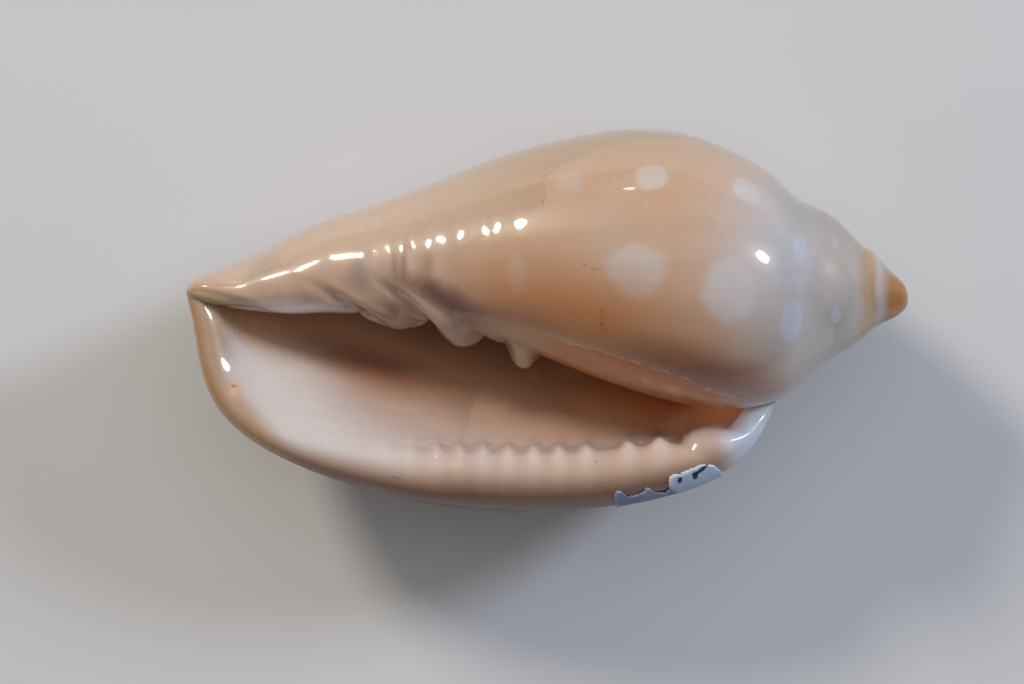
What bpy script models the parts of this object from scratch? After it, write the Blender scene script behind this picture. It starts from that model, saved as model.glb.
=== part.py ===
"""A marginella shell lying on its back, with the scrap of paper label that is stuck to its lip.

The shell is one closed solid. Its surface is worked out in growth coordinates. A turn is the angle
grown through, in degrees: 0 at the finished lip, and negative back towards the apex. A station runs
from 0 at the tip of the canal, past 8 at the shoulder, to 10 at the suture. Outlines of the last
whorl, one for each quarter turn, are joined by smooth curves. Lengths are in millimetres in the
shell's own axes: x runs along the coiling axis from the canal to the apex, and r is the distance
from it. The finished shape is tilted to lie on its back and set down on z = 0, in metres.
"""

import bmesh
import bpy
import numpy as np
from mathutils import Matrix

MM = 0.001

# ---- The whorls ---------------------------------------------------------------------------------

TIP_X = -22.6  # end of the canal
SHOULDER, SUTURE = 8.0, 10.0
CORNER = 7.5  # station on the wall between the whorls where the inside of the lip meets it
EDGE_TURN = -360.0  # one turn back from the lip, where the pillar edges the aperture
STEP = 0.02  # a short step in turn or station, for slopes

# The last whorl at each quarter turn: (x, r) at stations 1 to 10.
OUTLINES = {
    0: [(-22.15, 2.2), (-20.95, 6.8), (-16.7, 10.4), (-10.0, 12.75), (-3.5, 13.7), (2.5, 13.6),
        (7.6, 12.7), (11.4, 11.05), (13.3, 9.0), (14.25, 6.8)],
    -90: [(-22.1, 1.5), (-20.4, 3.6), (-16.0, 6.3), (-9.8, 8.7), (-3.5, 10.2), (2.5, 10.6),
          (7.8, 10.2), (12.1, 8.9), (13.7, 7.7), (14.9, 6.3)],
    -180: [(-21.8, 0.8), (-19.6, 1.35), (-15.0, 3.8), (-9.5, 5.8), (-3.5, 8.2), (2.5, 9.8),
           (8.0, 9.95), (12.6, 8.2), (14.2, 7.05), (15.72, 5.65)],
    -270: [(-21.8, 0.85), (-19.4, 1.5), (-15.2, 2.6), (-9.5, 3.9), (-3.5, 5.8), (2.0, 7.5),
           (7.8, 8.5), (13.3, 7.6), (15.2, 6.3), (16.8, 4.8)],
    -360: [(-21.8, 0.6), (-19.6, 0.9), (-15.5, 1.05), (-9.5, 1.15), (-3.9, 2.2), (1.5, 4.6),
           (8.0, 6.8), (14.25, 6.8), (16.05, 5.3), (17.88, 3.95)],
    -450: [(-20.6, 0.8), (-18.0, 1.1), (-14.0, 1.4), (-9.0, 1.6), (-4.0, 2.3), (1.0, 3.7),
           (7.5, 5.5), (14.9, 6.3), (17.0, 4.9), (18.6, 3.4)],
    -540: [(-19.0, 1.4), (-17.0, 1.7), (-13.0, 1.9), (-8.5, 2.1), (-4.0, 2.5), (1.0, 3.4),
           (7.5, 4.7), (15.72, 5.65), (17.7, 4.5), (19.3, 2.87)],
}

# The spire: the suture shrinks by this factor a turn on a cone, up to the dome of the first whorls.
WHORL_GROWTH = 1.9
CONE_X, CONE_SLOPE = 22.9, 1.27
LEAN_X, LEAN = 18.5, 0.03  # the top of the spire leans towards the lip by LEAN mm per mm squared
DOME_RADIUS, DOME_HEIGHT, DOME_BLUNTNESS = 1.85, 1.95, 2.5
DOME_TURN, FIRST_TURN = -785.0, -1170.0
WHORL_SWELL = [(-1530.0, 0.02), (-900.0, 0.06), (-720.0, 0.09), (-540.0, 0.1), (-360.0, 0.115)]

# ---- The lip, the wall and the space inside --------------------------------------------------------

CAVITY_TURN = 180.0  # how far back from the lip the space inside is modelled
WALL = 1.05
LIP_THICKNESS = [(0.0, 0.95), (1.0, 1.0), (2.0, 1.2), (3.0, 2.0), (4.0, 3.35), (5.0, 3.85),
                 (6.0, 3.75), (7.0, 3.5), (8.0, 2.8), (9.0, 2.0), (10.0, 1.4)]
LIP_FADE = 46.0  # the turn over which the thick lip thins to the wall
RIM_HEIGHT = [(0.0, 0.45), (1.0, 0.6), (2.0, 0.85), (3.0, 1.3), (4.0, 2.0), (5.0, 2.35),
              (6.0, 2.35), (7.0, 2.2), (8.0, 1.9), (9.0, 1.3), (10.0, 0.5)]
KNOB = (9.7, 1.4, 0.35)  # the last and broadest tooth of the lip: x, half width, height
KNOB_TURN = 14.0  # how far back from the lip that tooth fades out
CORNER_BEND = 6.5  # station from which the inner wall bends to its corner
PILLAR_SHIFT, PILLAR_SHIFT_TURN = 1.2, 150.0  # the pillar's first station moves up as it runs inwards
TIP_STATIONS = 2.4  # stations beside the canal tip over which the surfaces blend into each other

# Folds on the columella where they cross the edge of the aperture: the x of each, how far it
# reaches towards the canal and towards the apex, and its height.
FOLDS = [(-16.2, 4.2, 3.6, 0.3), (-9.1, 2.3, 1.4, 1.0), (-5.75, 1.1, 1.45, 1.7), (-1.5, 0.8, 0.75, 1.5)]
FOLD_LEAD = 3.6  # how far a fold runs along the axis in its first quarter turn from the edge

# ---- The label and how it all lies --------------------------------------------------------------------

LABEL_STATIONS = (6.35, 8.05)  # from end to end along the lip
LABEL_EDGES = [(6.35, -0.55, 0.12), (6.8, -0.7, 0.2), (7.2, -0.75, 0.27), (7.6, -0.7, 0.42),
               (8.05, -0.45, 0.5)]  # station, edge over the outside, edge over the rim
PAPER, PAPER_GAP = 0.12, 0.25
LABEL_STRETCH = 12.0  # degrees of the outside that one unit across the label stands for

ROLL, PITCH = -1.6, 1.9  # tilt about x, then about y, that balances the shell on its back
REST_FLAT = 0.12  # depth of the small worn flat that it lies on

SHELL_COLOUR, SHELL_ROUGHNESS = (0.56, 0.4, 0.29), 0.18
PAPER_COLOUR, PAPER_ROUGHNESS = (0.5, 0.53, 0.58), 0.85

COLUMNS, ROWS_TO_CORNER, ROWS_RIM, ROWS_SPIRE, ROWS_INSIDE = 44, 34, 4, 5, 14


def spline(knots, values, at):
    """A natural cubic spline through values, one row for each knot, read at each of at."""
    knots, values, at = (np.asarray(a, float) for a in (knots, values, at))
    flat = values.reshape(len(knots), -1)
    gaps = np.diff(knots)
    slopes = np.diff(flat, axis=0) / gaps[:, None]
    system = np.eye(len(knots))
    right = np.zeros_like(flat)
    for k in range(1, len(knots) - 1):
        system[k, k - 1 : k + 2] = gaps[k - 1], 2 * (gaps[k - 1] + gaps[k]), gaps[k]
        right[k] = 6 * (slopes[k] - slopes[k - 1])
    bends = np.linalg.solve(system, right)
    k = np.clip(np.searchsorted(knots, at, "right") - 1, 0, len(gaps) - 1)
    gap, a, b = gaps[k][:, None], (knots[k + 1] - at)[:, None], (at - knots[k])[:, None]
    found = (
        (bends[k] * a**3 + bends[k + 1] * b**3) / (6 * gap)
        + (flat[k] / gap - bends[k] * gap / 6) * a
        + (flat[k + 1] / gap - bends[k + 1] * gap / 6) * b
    )
    return found.reshape(len(at), *values.shape[1:])


def along(table, at):
    """Reads a table of (place, value) pairs as a smooth curve."""
    places, values = zip(*table)
    return spline(places, values, np.ravel(at)).reshape(np.shape(at))


def ease(t):
    """A smooth step from 0 to 1."""
    t = np.clip(t, 0.0, 1.0)
    return t * t * (3 - 2 * t)


def bump(t):
    """A rounded bump, 1 at 0 and nothing beyond -1 and 1."""
    return np.clip(1 - np.abs(t) ** 2.4, 0.0, None) ** 1.15


def outlines_at(turns, stations):
    """(x, r) of the smooth last whorl for every turn and station."""
    angles = sorted(OUTLINES)
    net = np.array([[(TIP_X, 0.0), *OUTLINES[angle]] for angle in angles]).transpose(1, 0, 2)
    mirrored = net[:0:-1] * (1, -1)  # carried on past the tip, so that the tip comes out round
    net = np.concatenate([mirrored, net])
    last = len(mirrored)
    rows = spline(np.arange(-last, last + 1), net, stations)
    return spline(angles, rows.transpose(1, 0, 2), turns)


def placed(turns, profile):
    """Swings each outline round the axis to its own turn."""
    angle = np.radians(np.asarray(turns, float))[:, None]
    x, r = profile[..., 0], profile[..., 1]
    lean = LEAN * np.clip(x - LEAN_X, 0, None) ** 2
    return np.stack([x, -np.cos(angle) * r - lean, np.sin(angle) * r], axis=-1)


def folds(turns, profile):
    """How far the columella's folds stand out from the smooth whorl."""
    inwards = (EDGE_TURN - np.asarray(turns, float)[:, None]) / 90.0
    shown = ease((inwards + 0.95) / 0.85) * ease((2.0 - inwards) / 0.8)
    shown = shown * (0.62 + 0.38 * np.exp(-((inwards / 0.3) ** 2)))
    drift = FOLD_LEAD * np.sign(inwards) * np.abs(inwards) ** 1.4
    height = np.zeros(profile.shape[:2])
    for x, ahead, behind, tall in FOLDS:
        from_ridge = profile[..., 0] - x - drift
        across = from_ridge / np.where(from_ridge < 0, ahead, behind)
        height = np.maximum(height, tall * shown * bump(across))
    return height


def outside(turns, stations):
    """The outer surface with its folds."""
    profile = outlines_at(turns, stations)
    profile[..., 1] += folds(turns, profile)
    return placed(turns, profile)


def outward(turn, stations):
    """Unit normals of the smooth outer surface along one outline."""
    fore = placed([turn + STEP], outlines_at([turn + STEP], stations))
    aft = placed([turn - STEP], outlines_at([turn - STEP], stations))
    upper = placed([turn], outlines_at([turn], stations + STEP))
    lower = placed([turn], outlines_at([turn], stations - STEP))
    normal = np.cross(upper - lower, fore - aft)[0]
    return normal / np.linalg.norm(normal, axis=-1, keepdims=True)


def wall_thickness(turn, stations):
    """The outer wall, which swells to the full lip over its last stretch."""
    full = 1 - ease(-turn / LIP_FADE)
    thin = WALL * np.interp(stations, [0, 2, 4], [0.7, 0.85, 1.0])
    return thin + (along(LIP_THICKNESS, stations) - thin) * full


def spire_profile(turn, shares):
    """(x, r) across one whorl of the spire, from the suture below it to the one above it."""
    def radius(at):
        r = OUTLINES[-360][-1][1] * WHORL_GROWTH ** ((at - EDGE_TURN) / 360.0)
        if at < DOME_TURN:
            r = DOME_RADIUS * np.sqrt(np.clip((at - FIRST_TURN) / (DOME_TURN - FIRST_TURN), 0, 1))
        return r

    r = radius(turn + 360.0) * (1 - shares) + radius(turn) * shares
    cone = CONE_X - CONE_SLOPE * r
    top = CONE_X - CONE_SLOPE * DOME_RADIUS + DOME_HEIGHT
    x = np.where(r < DOME_RADIUS, top - DOME_HEIGHT * (r / DOME_RADIUS) ** DOME_BLUNTNESS, cone)
    places, swells = zip(*WHORL_SWELL)
    width = np.hypot(x[-1] - x[0], r[-1] - r[0])
    swell = np.interp(turn, places, swells) * width * 4 * shares * (1 - shares)
    lean = np.hypot(1, CONE_SLOPE)
    return np.stack([x + swell / lean, r + swell * CONE_SLOPE / lean], axis=-1)


class Net:
    """Points and faces of one mesh, put together from grids that share their edge points."""

    def __init__(self):
        self.points = []
        self.faces = []

    def add(self, grid):
        """Adds a grid of points and returns its point numbers."""
        first = len(self.points)
        flat = np.asarray(grid, float).reshape(-1, 3)
        self.points.extend(flat)
        return np.arange(first, first + len(flat)).reshape(np.shape(grid)[:-1])

    def patch(self, numbers, flip=False):
        """Fills a grid of point numbers with faces, which are triangles where corners coincide."""
        for a, b in zip(numbers[:-1], numbers[1:]):
            for j in range(len(a) - 1):
                corners = [a[j], a[j + 1], b[j + 1], b[j]]
                kept = list(dict.fromkeys(int(c) for c in corners))
                if len(kept) > 2:
                    self.faces.append(kept[::-1] if flip else kept)

    def zip_up(self, left, right):
        """Fills the gap between two runs of points that share both ends."""
        i = j = 0
        while i < len(left) - 1 or j < len(right) - 1:
            step_left = (i + 1) / len(left) <= (j + 1) / len(right) and i < len(left) - 1
            if step_left or j == len(right) - 1:
                corners = [left[i], left[i + 1], right[j]]
                i += 1
            else:
                corners = [left[i], right[j + 1], right[j]]
                j += 1
            if len(set(corners)) == 3:
                self.faces.append([int(c) for c in corners])


class Shell:
    """The grids of points that make up the shell, in its own axes and in millimetres."""

    def __init__(self, columns, to_corner, rim_steps, spire_rows, inside_columns):
        self.rim_steps = rim_steps
        self.stations = np.concatenate([
            np.linspace(0, CORNER, to_corner + 1),
            np.linspace(CORNER, SHOULDER, rim_steps + 1)[1:],
            np.linspace(SHOULDER, SUTURE, spire_rows + 1)[1:],
        ])
        self.corner, self.shoulder = to_corner, to_corner + rim_steps
        self.turns = np.linspace(-360.0, 0.0, columns + 1)
        depth = np.linspace(0, 1, inside_columns + 1)
        self.depths = -CAVITY_TURN * (0.4 * depth + 0.6 * depth**2)
        self.wall = np.array([self.inner_outline(turn) for turn in self.depths])
        self.pillar = self.inner_pillar()
        self.close_corner()
        self.body = self.last_whorl()
        self.rim = self.lip_rim()
        self.spire = self.spire_strip()

    def inner_outline(self, turn):
        """One outline of the inside of the outer wall."""
        quarters = -turn / 90.0
        first = 0.3 + 0.45 * quarters + 0.25 * quarters**2
        stations = first + (9.3 - first) * self.stations / SUTURE
        base = placed([turn], outlines_at([turn], stations))[0]
        thick = wall_thickness(turn, stations)
        x, half_width, tall = KNOB
        thick = thick + tall * bump((base[:, 0] - x) / half_width) * np.exp(-((turn / KNOB_TURN) ** 2))
        return base - outward(turn, stations) * thick[:, None]

    def inner_pillar(self):
        """The columella and the wall between the whorls, from the aperture inwards."""
        columns = []
        for turn, wall in zip(self.depths, self.wall):
            first = PILLAR_SHIFT * ease(-turn / PILLAR_SHIFT_TURN)
            stations = first + (CORNER - first) * self.stations[: self.corner + 1] / CORNER
            column = outside([turn + EDGE_TURN], stations)[0]
            fade = 1 - ease(self.stations[: self.corner + 1] / TIP_STATIONS)
            columns.append(column + (wall[0] - column[0]) * fade[:, None])
        return np.array(columns)

    def close_corner(self):
        """Bends the end of the inner wall to the line where it meets the whorl before."""
        share = ease((self.stations - CORNER_BEND) / (SUTURE - CORNER_BEND))[:, None]
        gap = self.pillar[:, -1] - self.wall[:, -1]
        self.wall += gap[:, None] * share

    def rim_end(self):
        """From the tip of the canal over to the inside of the lip."""
        share = np.linspace(0, 1, self.rim_steps + 1)[:, None]
        tip = np.array([TIP_X, 0.0, 0.0])
        path = tip + (self.wall[0, 0] - tip) * (1 - np.cos(np.pi * share)) / 2
        path[:, 2] += RIM_HEIGHT[0][1] * np.sin(np.pi * share[:, 0])
        return path

    def last_whorl(self):
        """The outside of the last whorl, whose first columns edge the canal."""
        points = outside(self.turns, self.stations)
        fade = (1 - ease(self.stations / TIP_STATIONS))[:, None]
        path = self.rim_end()
        for step in range(self.rim_steps + 1):
            points[step] += (path[self.rim_steps - step] - path[0]) * fade
        return points

    def lip_rim(self):
        """The rounded rim, from the outside of the lip to its inside."""
        outer, inner = self.body[-1], self.wall[0]
        share = np.linspace(0, 1, self.rim_steps + 1)[:, None]
        rim = outer + (inner - outer) * ((1 - np.cos(np.pi * share)) / 2)[..., None]
        rim[..., 2] += along(RIM_HEIGHT, self.stations) * np.sin(np.pi * share)
        ends = self.body[0, self.shoulder - np.arange(self.rim_steps + 1)]
        last = ease((self.stations - SHOULDER) / (SUTURE - SHOULDER))
        rim += (ends - rim[:, -1])[:, None] * last[:, None]
        return rim

    def spire_strip(self):
        """The older whorls, one spiral strip from the first whorl to the last one."""
        columns = len(self.turns) - 1
        count = round(-FIRST_TURN / 360.0 * columns)
        turns = -360.0 - 360.0 / columns * np.arange(count, -1, -1)
        shares = np.linspace(0, 1, len(self.stations) - self.shoulder)
        profile = np.array([spire_profile(turn, shares) for turn in turns])
        last = outlines_at(self.turns, self.stations)
        seam = last[:, -1] - profile[-len(self.turns) :, 0]
        profile[-len(self.turns) :] += seam[:, None] * (1 - shares)[:, None]
        late = ease((turns + 500.0) / 140.0)[:, None, None]
        profile += (last[0, self.shoulder :] - profile[-1]) * late
        return placed(turns, profile)

    def net(self):
        """Joins the grids into one closed net."""
        net = Net()
        steps = np.arange(self.rim_steps + 1)
        body = net.add(self.body)
        body[self.rim_steps :, 0] = body[-1, 0]
        body[-1, -1] = body[0, self.shoulder]
        pillar = net.add(self.pillar)
        pillar[0] = body[0, : self.corner + 1]
        wall = net.add(self.wall)
        wall[:, 0], wall[:, -1] = pillar[:, 0], pillar[:, -1]
        rim = net.add(self.rim)
        rim[0], rim[-1] = body[-1], wall[0]
        rim[:, -1], rim[:, 0] = body[0, self.shoulder - steps], body[self.rim_steps - steps, 0]
        spire = net.add(self.spire)
        columns = len(self.turns) - 1
        spire[-1] = body[0, self.shoulder :]
        spire[: columns + 1, -1] = spire[0, -1]
        spire[0] = spire[0, -1]
        for column in range(len(spire) - 1):
            below = column + columns - (len(spire) - 1)
            spire[column, 0] = body[below, -1] if below >= 0 else spire[column + columns, -1]
        for grid, flip in ((body, False), (pillar, True), (wall, False), (rim, False), (spire, False)):
            net.patch(grid, flip)
        net.zip_up(wall[-1], pillar[-1])
        return net


def border(grid):
    """The point numbers once round the edge of a grid, back to the first."""
    return [*grid[0], *grid[1:, -1], *grid[-1, -2::-1], *grid[-2::-1, 0]]


def lip_skin(shell, station, across):
    """A point on the lip: across is negative over its outside, and 0 to 1 over its rim."""
    if across <= 0:
        return outside([across * LABEL_STRETCH], [station])[0, 0]
    outer = outside([0.0], [station])[0, 0]
    inner = np.array([np.interp(station, shell.stations, shell.wall[0, :, k]) for k in range(3)])
    point = outer + (inner - outer) * (1 - np.cos(np.pi * across)) / 2
    return point + (0, 0, float(along(RIM_HEIGHT, station)) * np.sin(np.pi * across))


def label_net(shell, rows=9, steps=6):
    """The paper label, a thin sheet that follows the lip."""
    places, low, high = zip(*LABEL_EDGES)
    under, over = np.zeros((2, rows, steps, 3))
    for i, station in enumerate(np.linspace(*LABEL_STATIONS, rows)):
        edges = np.interp(station, places, low), np.interp(station, places, high)
        for j, across in enumerate(np.linspace(*edges, steps)):
            point = lip_skin(shell, station, across)
            lengthwise = lip_skin(shell, station + STEP, across) - point
            crosswise = lip_skin(shell, station, across + STEP) - point
            normal = np.cross(lengthwise, crosswise)
            normal /= np.linalg.norm(normal)
            under[i, j] = point + normal * PAPER_GAP
            over[i, j] = point + normal * (PAPER_GAP + PAPER)
    net = Net()
    lower, upper = net.add(under), net.add(over)
    net.patch(upper, flip=True)
    net.patch(lower)
    net.patch(np.array([border(lower), border(upper)]), flip=True)
    return net


def lay_down(nets):
    """Tilts the shell on to its back and sets it down, middle of the box at the origin."""
    roll = Matrix.Rotation(np.radians(ROLL), 3, "X")
    pitch = Matrix.Rotation(np.radians(PITCH), 3, "Y")
    turn = np.array(pitch @ roll)
    for net in nets:
        net.points = np.array(net.points) @ turn.T
    everything = np.concatenate([net.points for net in nets])
    low, high = everything.min(axis=0), everything.max(axis=0)
    middle = (low + high) / 2
    for net in nets:
        net.points -= (middle[0], middle[1], low[2] + REST_FLAT)
        net.points[:, 2] = net.points[:, 2].clip(0.0)


def new_object(name, net, colour, roughness, collection):
    """A closed, smooth object from a net in millimetres."""
    mesh = bpy.data.meshes.new(name)
    mesh.from_pydata((net.points * MM).tolist(), [], net.faces)
    bm = bmesh.new()
    bm.from_mesh(mesh)
    bmesh.ops.delete(bm, geom=[v for v in bm.verts if not v.link_faces], context="VERTS")
    bmesh.ops.triangulate(bm, faces=bm.faces[:])
    bm.to_mesh(mesh)
    bm.free()
    mesh.shade_smooth()
    material = bpy.data.materials.new(name)
    material.use_nodes = True
    shader = material.node_tree.nodes["Principled BSDF"]
    shader.inputs["Base Color"].default_value = (*colour, 1.0)
    shader.inputs["Roughness"].default_value = roughness
    mesh.materials.append(material)
    piece = bpy.data.objects.new(name, mesh)
    collection.objects.link(piece)
    return piece


def main():
    for old in list(bpy.data.objects):
        bpy.data.objects.remove(old)
    collection = bpy.data.collections.new("marginella_shell")
    bpy.context.scene.collection.children.link(collection)
    whorls = Shell(COLUMNS, ROWS_TO_CORNER, ROWS_RIM, ROWS_SPIRE, ROWS_INSIDE)
    shell, label = whorls.net(), label_net(whorls)
    lay_down([shell, label])
    new_object("shell", shell, SHELL_COLOUR, SHELL_ROUGHNESS, collection)
    new_object("label", label, PAPER_COLOUR, PAPER_ROUGHNESS, collection)


main()
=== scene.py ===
"""The looks of a marginella shell that lies on its back, and of the scrap of paper label on its lip.

The shell is made again here from the same growth rules as its solid, but fine enough for the teeth
of the lip, the wrinkles of the pillar and the edges of the glaze. A turn is the angle grown through
in degrees, 0 at the lip and negative back to the apex. A station runs from 0 at the canal tip, past
8 at the shoulder, to 10 at the suture. Lengths are in millimetres in the shell's own axes: x along
the coiling axis from canal to apex, y away from the lip, z out of the aperture.
"""

import bpy
import numpy as np
from mathutils import Matrix, Vector
from mathutils.bvhtree import BVHTree


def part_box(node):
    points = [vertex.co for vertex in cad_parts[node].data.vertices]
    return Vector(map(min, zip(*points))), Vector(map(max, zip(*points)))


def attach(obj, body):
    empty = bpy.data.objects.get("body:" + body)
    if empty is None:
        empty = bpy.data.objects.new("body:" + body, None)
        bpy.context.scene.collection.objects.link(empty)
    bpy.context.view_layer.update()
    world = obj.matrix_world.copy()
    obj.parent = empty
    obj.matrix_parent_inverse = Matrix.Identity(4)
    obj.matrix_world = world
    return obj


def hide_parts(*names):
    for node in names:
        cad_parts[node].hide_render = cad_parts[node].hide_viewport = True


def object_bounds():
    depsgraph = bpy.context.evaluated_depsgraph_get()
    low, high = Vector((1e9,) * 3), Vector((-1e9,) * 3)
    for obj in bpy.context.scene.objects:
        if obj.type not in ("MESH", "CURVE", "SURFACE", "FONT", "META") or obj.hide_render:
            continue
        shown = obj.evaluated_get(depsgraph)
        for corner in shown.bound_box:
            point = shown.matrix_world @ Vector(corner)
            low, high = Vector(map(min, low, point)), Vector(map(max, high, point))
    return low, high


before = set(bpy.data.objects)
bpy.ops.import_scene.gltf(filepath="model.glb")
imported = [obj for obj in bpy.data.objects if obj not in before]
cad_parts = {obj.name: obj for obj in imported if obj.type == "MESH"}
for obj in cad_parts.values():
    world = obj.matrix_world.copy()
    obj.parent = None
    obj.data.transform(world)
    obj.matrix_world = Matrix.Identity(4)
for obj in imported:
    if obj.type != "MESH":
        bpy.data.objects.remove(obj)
CAD_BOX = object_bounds()

MM = 0.001

# ---- Shape of the whorls, as in the solid ------------------------------------------------------------

TIP_X = -22.6
SHOULDER, SUTURE = 8.0, 10.0
CORNER = 7.5
FULL, QUARTER = 360.0, 90.0
EDGE_TURN = -FULL  # one turn back from the lip, where the pillar edges the aperture
STEP = 0.02  # a short step in turn or station, for slopes

# The last whorl at each quarter turn: (x, r) at stations 1 to 10.
OUTLINES = {
    0: [(-22.15, 2.2), (-20.95, 6.8), (-16.7, 10.4), (-10.0, 12.75), (-3.5, 13.7), (2.5, 13.6),
        (7.6, 12.7), (11.4, 11.05), (13.3, 9.0), (14.25, 6.8)],
    -90: [(-22.1, 1.5), (-20.4, 3.6), (-16.0, 6.3), (-9.8, 8.7), (-3.5, 10.2), (2.5, 10.6),
          (7.8, 10.2), (12.1, 8.9), (13.7, 7.7), (14.9, 6.3)],
    -180: [(-21.8, 0.8), (-19.6, 1.35), (-15.0, 3.8), (-9.5, 5.8), (-3.5, 8.2), (2.5, 9.8),
           (8.0, 9.95), (12.6, 8.2), (14.2, 7.05), (15.72, 5.65)],
    -270: [(-21.8, 0.85), (-19.4, 1.5), (-15.2, 2.6), (-9.5, 3.9), (-3.5, 5.8), (2.0, 7.5),
           (8.4, 8.55), (13.3, 7.6), (15.2, 6.35), (16.8, 4.9)],
    -360: [(-21.8, 0.6), (-19.6, 0.9), (-15.5, 1.05), (-9.5, 1.15), (-3.9, 2.2), (1.5, 4.6),
           (9.3, 7.1), (14.25, 6.8), (16.0, 5.68), (17.88, 4.08)],
    -450: [(-20.6, 0.8), (-18.0, 1.1), (-14.0, 1.4), (-9.0, 1.6), (-4.0, 2.3), (1.0, 3.7),
           (8.2, 5.8), (14.9, 6.3), (17.0, 4.95), (18.6, 3.5)],
    -540: [(-19.0, 1.4), (-17.0, 1.7), (-13.0, 1.9), (-8.5, 2.1), (-4.0, 2.5), (1.0, 3.4),
           (7.5, 4.7), (15.72, 5.65), (17.7, 4.5), (19.3, 2.87)],
}

WHORL_GROWTH = 1.9  # how many times wider each whorl of the spire is than the one before
CONE_X, CONE_SLOPE = 23.15, 1.27  # x where the cone of the spire would end in a point, and its slope
LEAN_X, LEAN = 18.5, 0.03  # past this x, the spire leans a little to one side
DOME_RADIUS, DOME_HEIGHT, DOME_BLUNTNESS = 1.65, 1.44, 2.3  # the rounded nucleus
DOME_TURN, FIRST_TURN = -850.0, -1210.0  # where the nucleus ends, and where growth begins
# How far each whorl of the spire bulges: turn, and share of its width.
WHORL_SWELL = [(-1530.0, 0.02), (-1080.0, 0.04), (-900.0, 0.11), (-720.0, 0.06), (-540.0, 0.115),
               (-360.0, 0.06)]

CAVITY_TURN = 180.0  # how far in the space inside is followed
CAVITY_CROWDING = 0.6  # how much closer its columns stand near the lip
# The inside starts past the canal tip, by more each quarter turn inwards: the terms of that start, and
# the station where it ends.
INNER_START, INNER_END = (0.3, 0.45, 0.25), 9.3
WALL = 1.05  # thickness of the plain wall
THIN_WALL = [(0.0, 0.7), (2.0, 0.85), (4.0, 1.0)]  # share of the wall's thickness near the canal
# Thickness of the lip at each station, and over how many degrees it thins to the plain wall.
LIP_THICKNESS = [(0.0, 0.95), (1.0, 0.95), (2.0, 1.1), (3.0, 1.8), (4.0, 3.3), (5.0, 3.85),
                 (6.0, 3.75), (6.8, 3.4), (7.4, 2.75), (8.0, 2.2), (9.0, 1.8), (10.0, 1.4)]
LIP_FADE = 95.0
# How far the rim stands out of the aperture at each station.
RIM_HEIGHT = [(0.0, 0.45), (1.0, 0.6), (2.0, 0.85), (3.0, 1.3), (4.0, 2.0), (5.0, 2.35),
              (6.0, 2.35), (7.0, 2.2), (8.0, 1.9), (9.0, 1.3), (10.0, 0.5)]
# How far the rim runs straight on into the inner slope, which falls gently near the canal.
LIP_FLARE = [(0.0, 0.4), (0.3, 0.65), (0.7, 0.75), (3.1, 0.75), (3.9, 0.45), (4.8, 0.0), (10.0, 0.0)]
INNER_SLOPE = [(0.0, 0.95), (0.35, 0.6), (0.8, 0.5), (3.0, 0.5), (4.0, 0.58), (4.5, 0.7), (5.0, 0.9),
               (6.0, 1.3), (7.0, 2.0), (10.0, 4.0)]
FLARE_FLAT, FLARE_FADE = 35.0, 75.0  # degrees inwards where the slope is whole, and over which it ends
# How much thicker the wall grows inside that slope, before it thins again.
FLARE_SWELL = [(0.0, 0.0), (0.5, 0.5), (1.0, 0.9), (1.6, 1.1), (2.3, 1.1), (3.2, 0.9), (4.5, 1.3),
               (7.0, 1.3), (8.0, 0.6), (10.0, 0.0)]
FLARE_SWELL_TURN, FLARE_SWELL_END, FLARE_SWELL_FADE = 45.0, 60.0, 60.0
KNOB = (10.75, 1.6, 0.8)  # the broad end tooth: x, half width and height
KNOB_TOP, KNOB_SIDES = 2.4, 1.15  # how flat its top is, and how softly its sides run out
KNOB_TURN = 14.0  # degrees that it reaches inwards
CORNER_BEND = 6.5  # past this station, the inside bends to the suture
PILLAR_SHIFT, PILLAR_SHIFT_TURN = 1.2, 150.0  # the pillar leaves the canal tip over this turn
TIP_STATIONS = 2.4  # the edges run together into the canal tip over these stations
# Folds: x of the crest, half width towards the canal and towards the apex, height, reach over the face.
FOLDS = [(-16.2, 4.2, 3.6, 0.3, 1.15), (-9.2, 2.7, 1.95, 1.1, 1.2), (-5.6, 1.65, 1.75, 1.62, 1.2),
         (-3.2, 1.6, 1.2, 0.5, 0.7), (-1.75, 0.95, 1.05, 1.6, 0.5)]
# Their course, in quarter turns inwards from the edge of the aperture, negative over the face.
FOLD_END, FOLD_END_FADE = 2.0, 0.8
FOLD_INSIDE, FOLD_CREST = 0.62, 0.35  # share of the height kept inside, and how fast it drops to that
FOLD_LEAD, FOLD_CURVE = 3.4, (2.1, 1.3)  # how far they lean along x, and how that grows over face and inside
FOLD_NARROWING, FOLD_NARROW_BY = 0.72, 0.55  # how much steeper their canal side gets over the face
FOLD_FADE = 1.15
LOBE_BLUNT, LOBE_TAPER, LOBE_TAPER_BY = 0.55, 1.3, 0.4  # their cross-section, blunt at the edge
FACE_RISE, FACE_END, FACE_FADE = 0.35, 1.25, 0.5  # where their grooves lie
GROOVE_PLACE, GROOVE_HALF, GROOVE_DEPTH = 1.6, 0.8, 0.32  # on the canal side of each ridge, over the face

# ---- What only the fine surface shows ----------------------------------------------------------------

SOFTENING_PASSES, INNER_PASSES, SPIRE_PASSES = 40, 120, 24
SPIRE_X = (15.0, 16.4)  # where the softening of the sutures sets in
SPIRE_PULL = 0.5  # how far each pass of it pulls a point
SPIRE_JOIN = (-500.0, 140.0)  # start and length of the stretch where the spire takes the last whorl's shape
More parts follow.
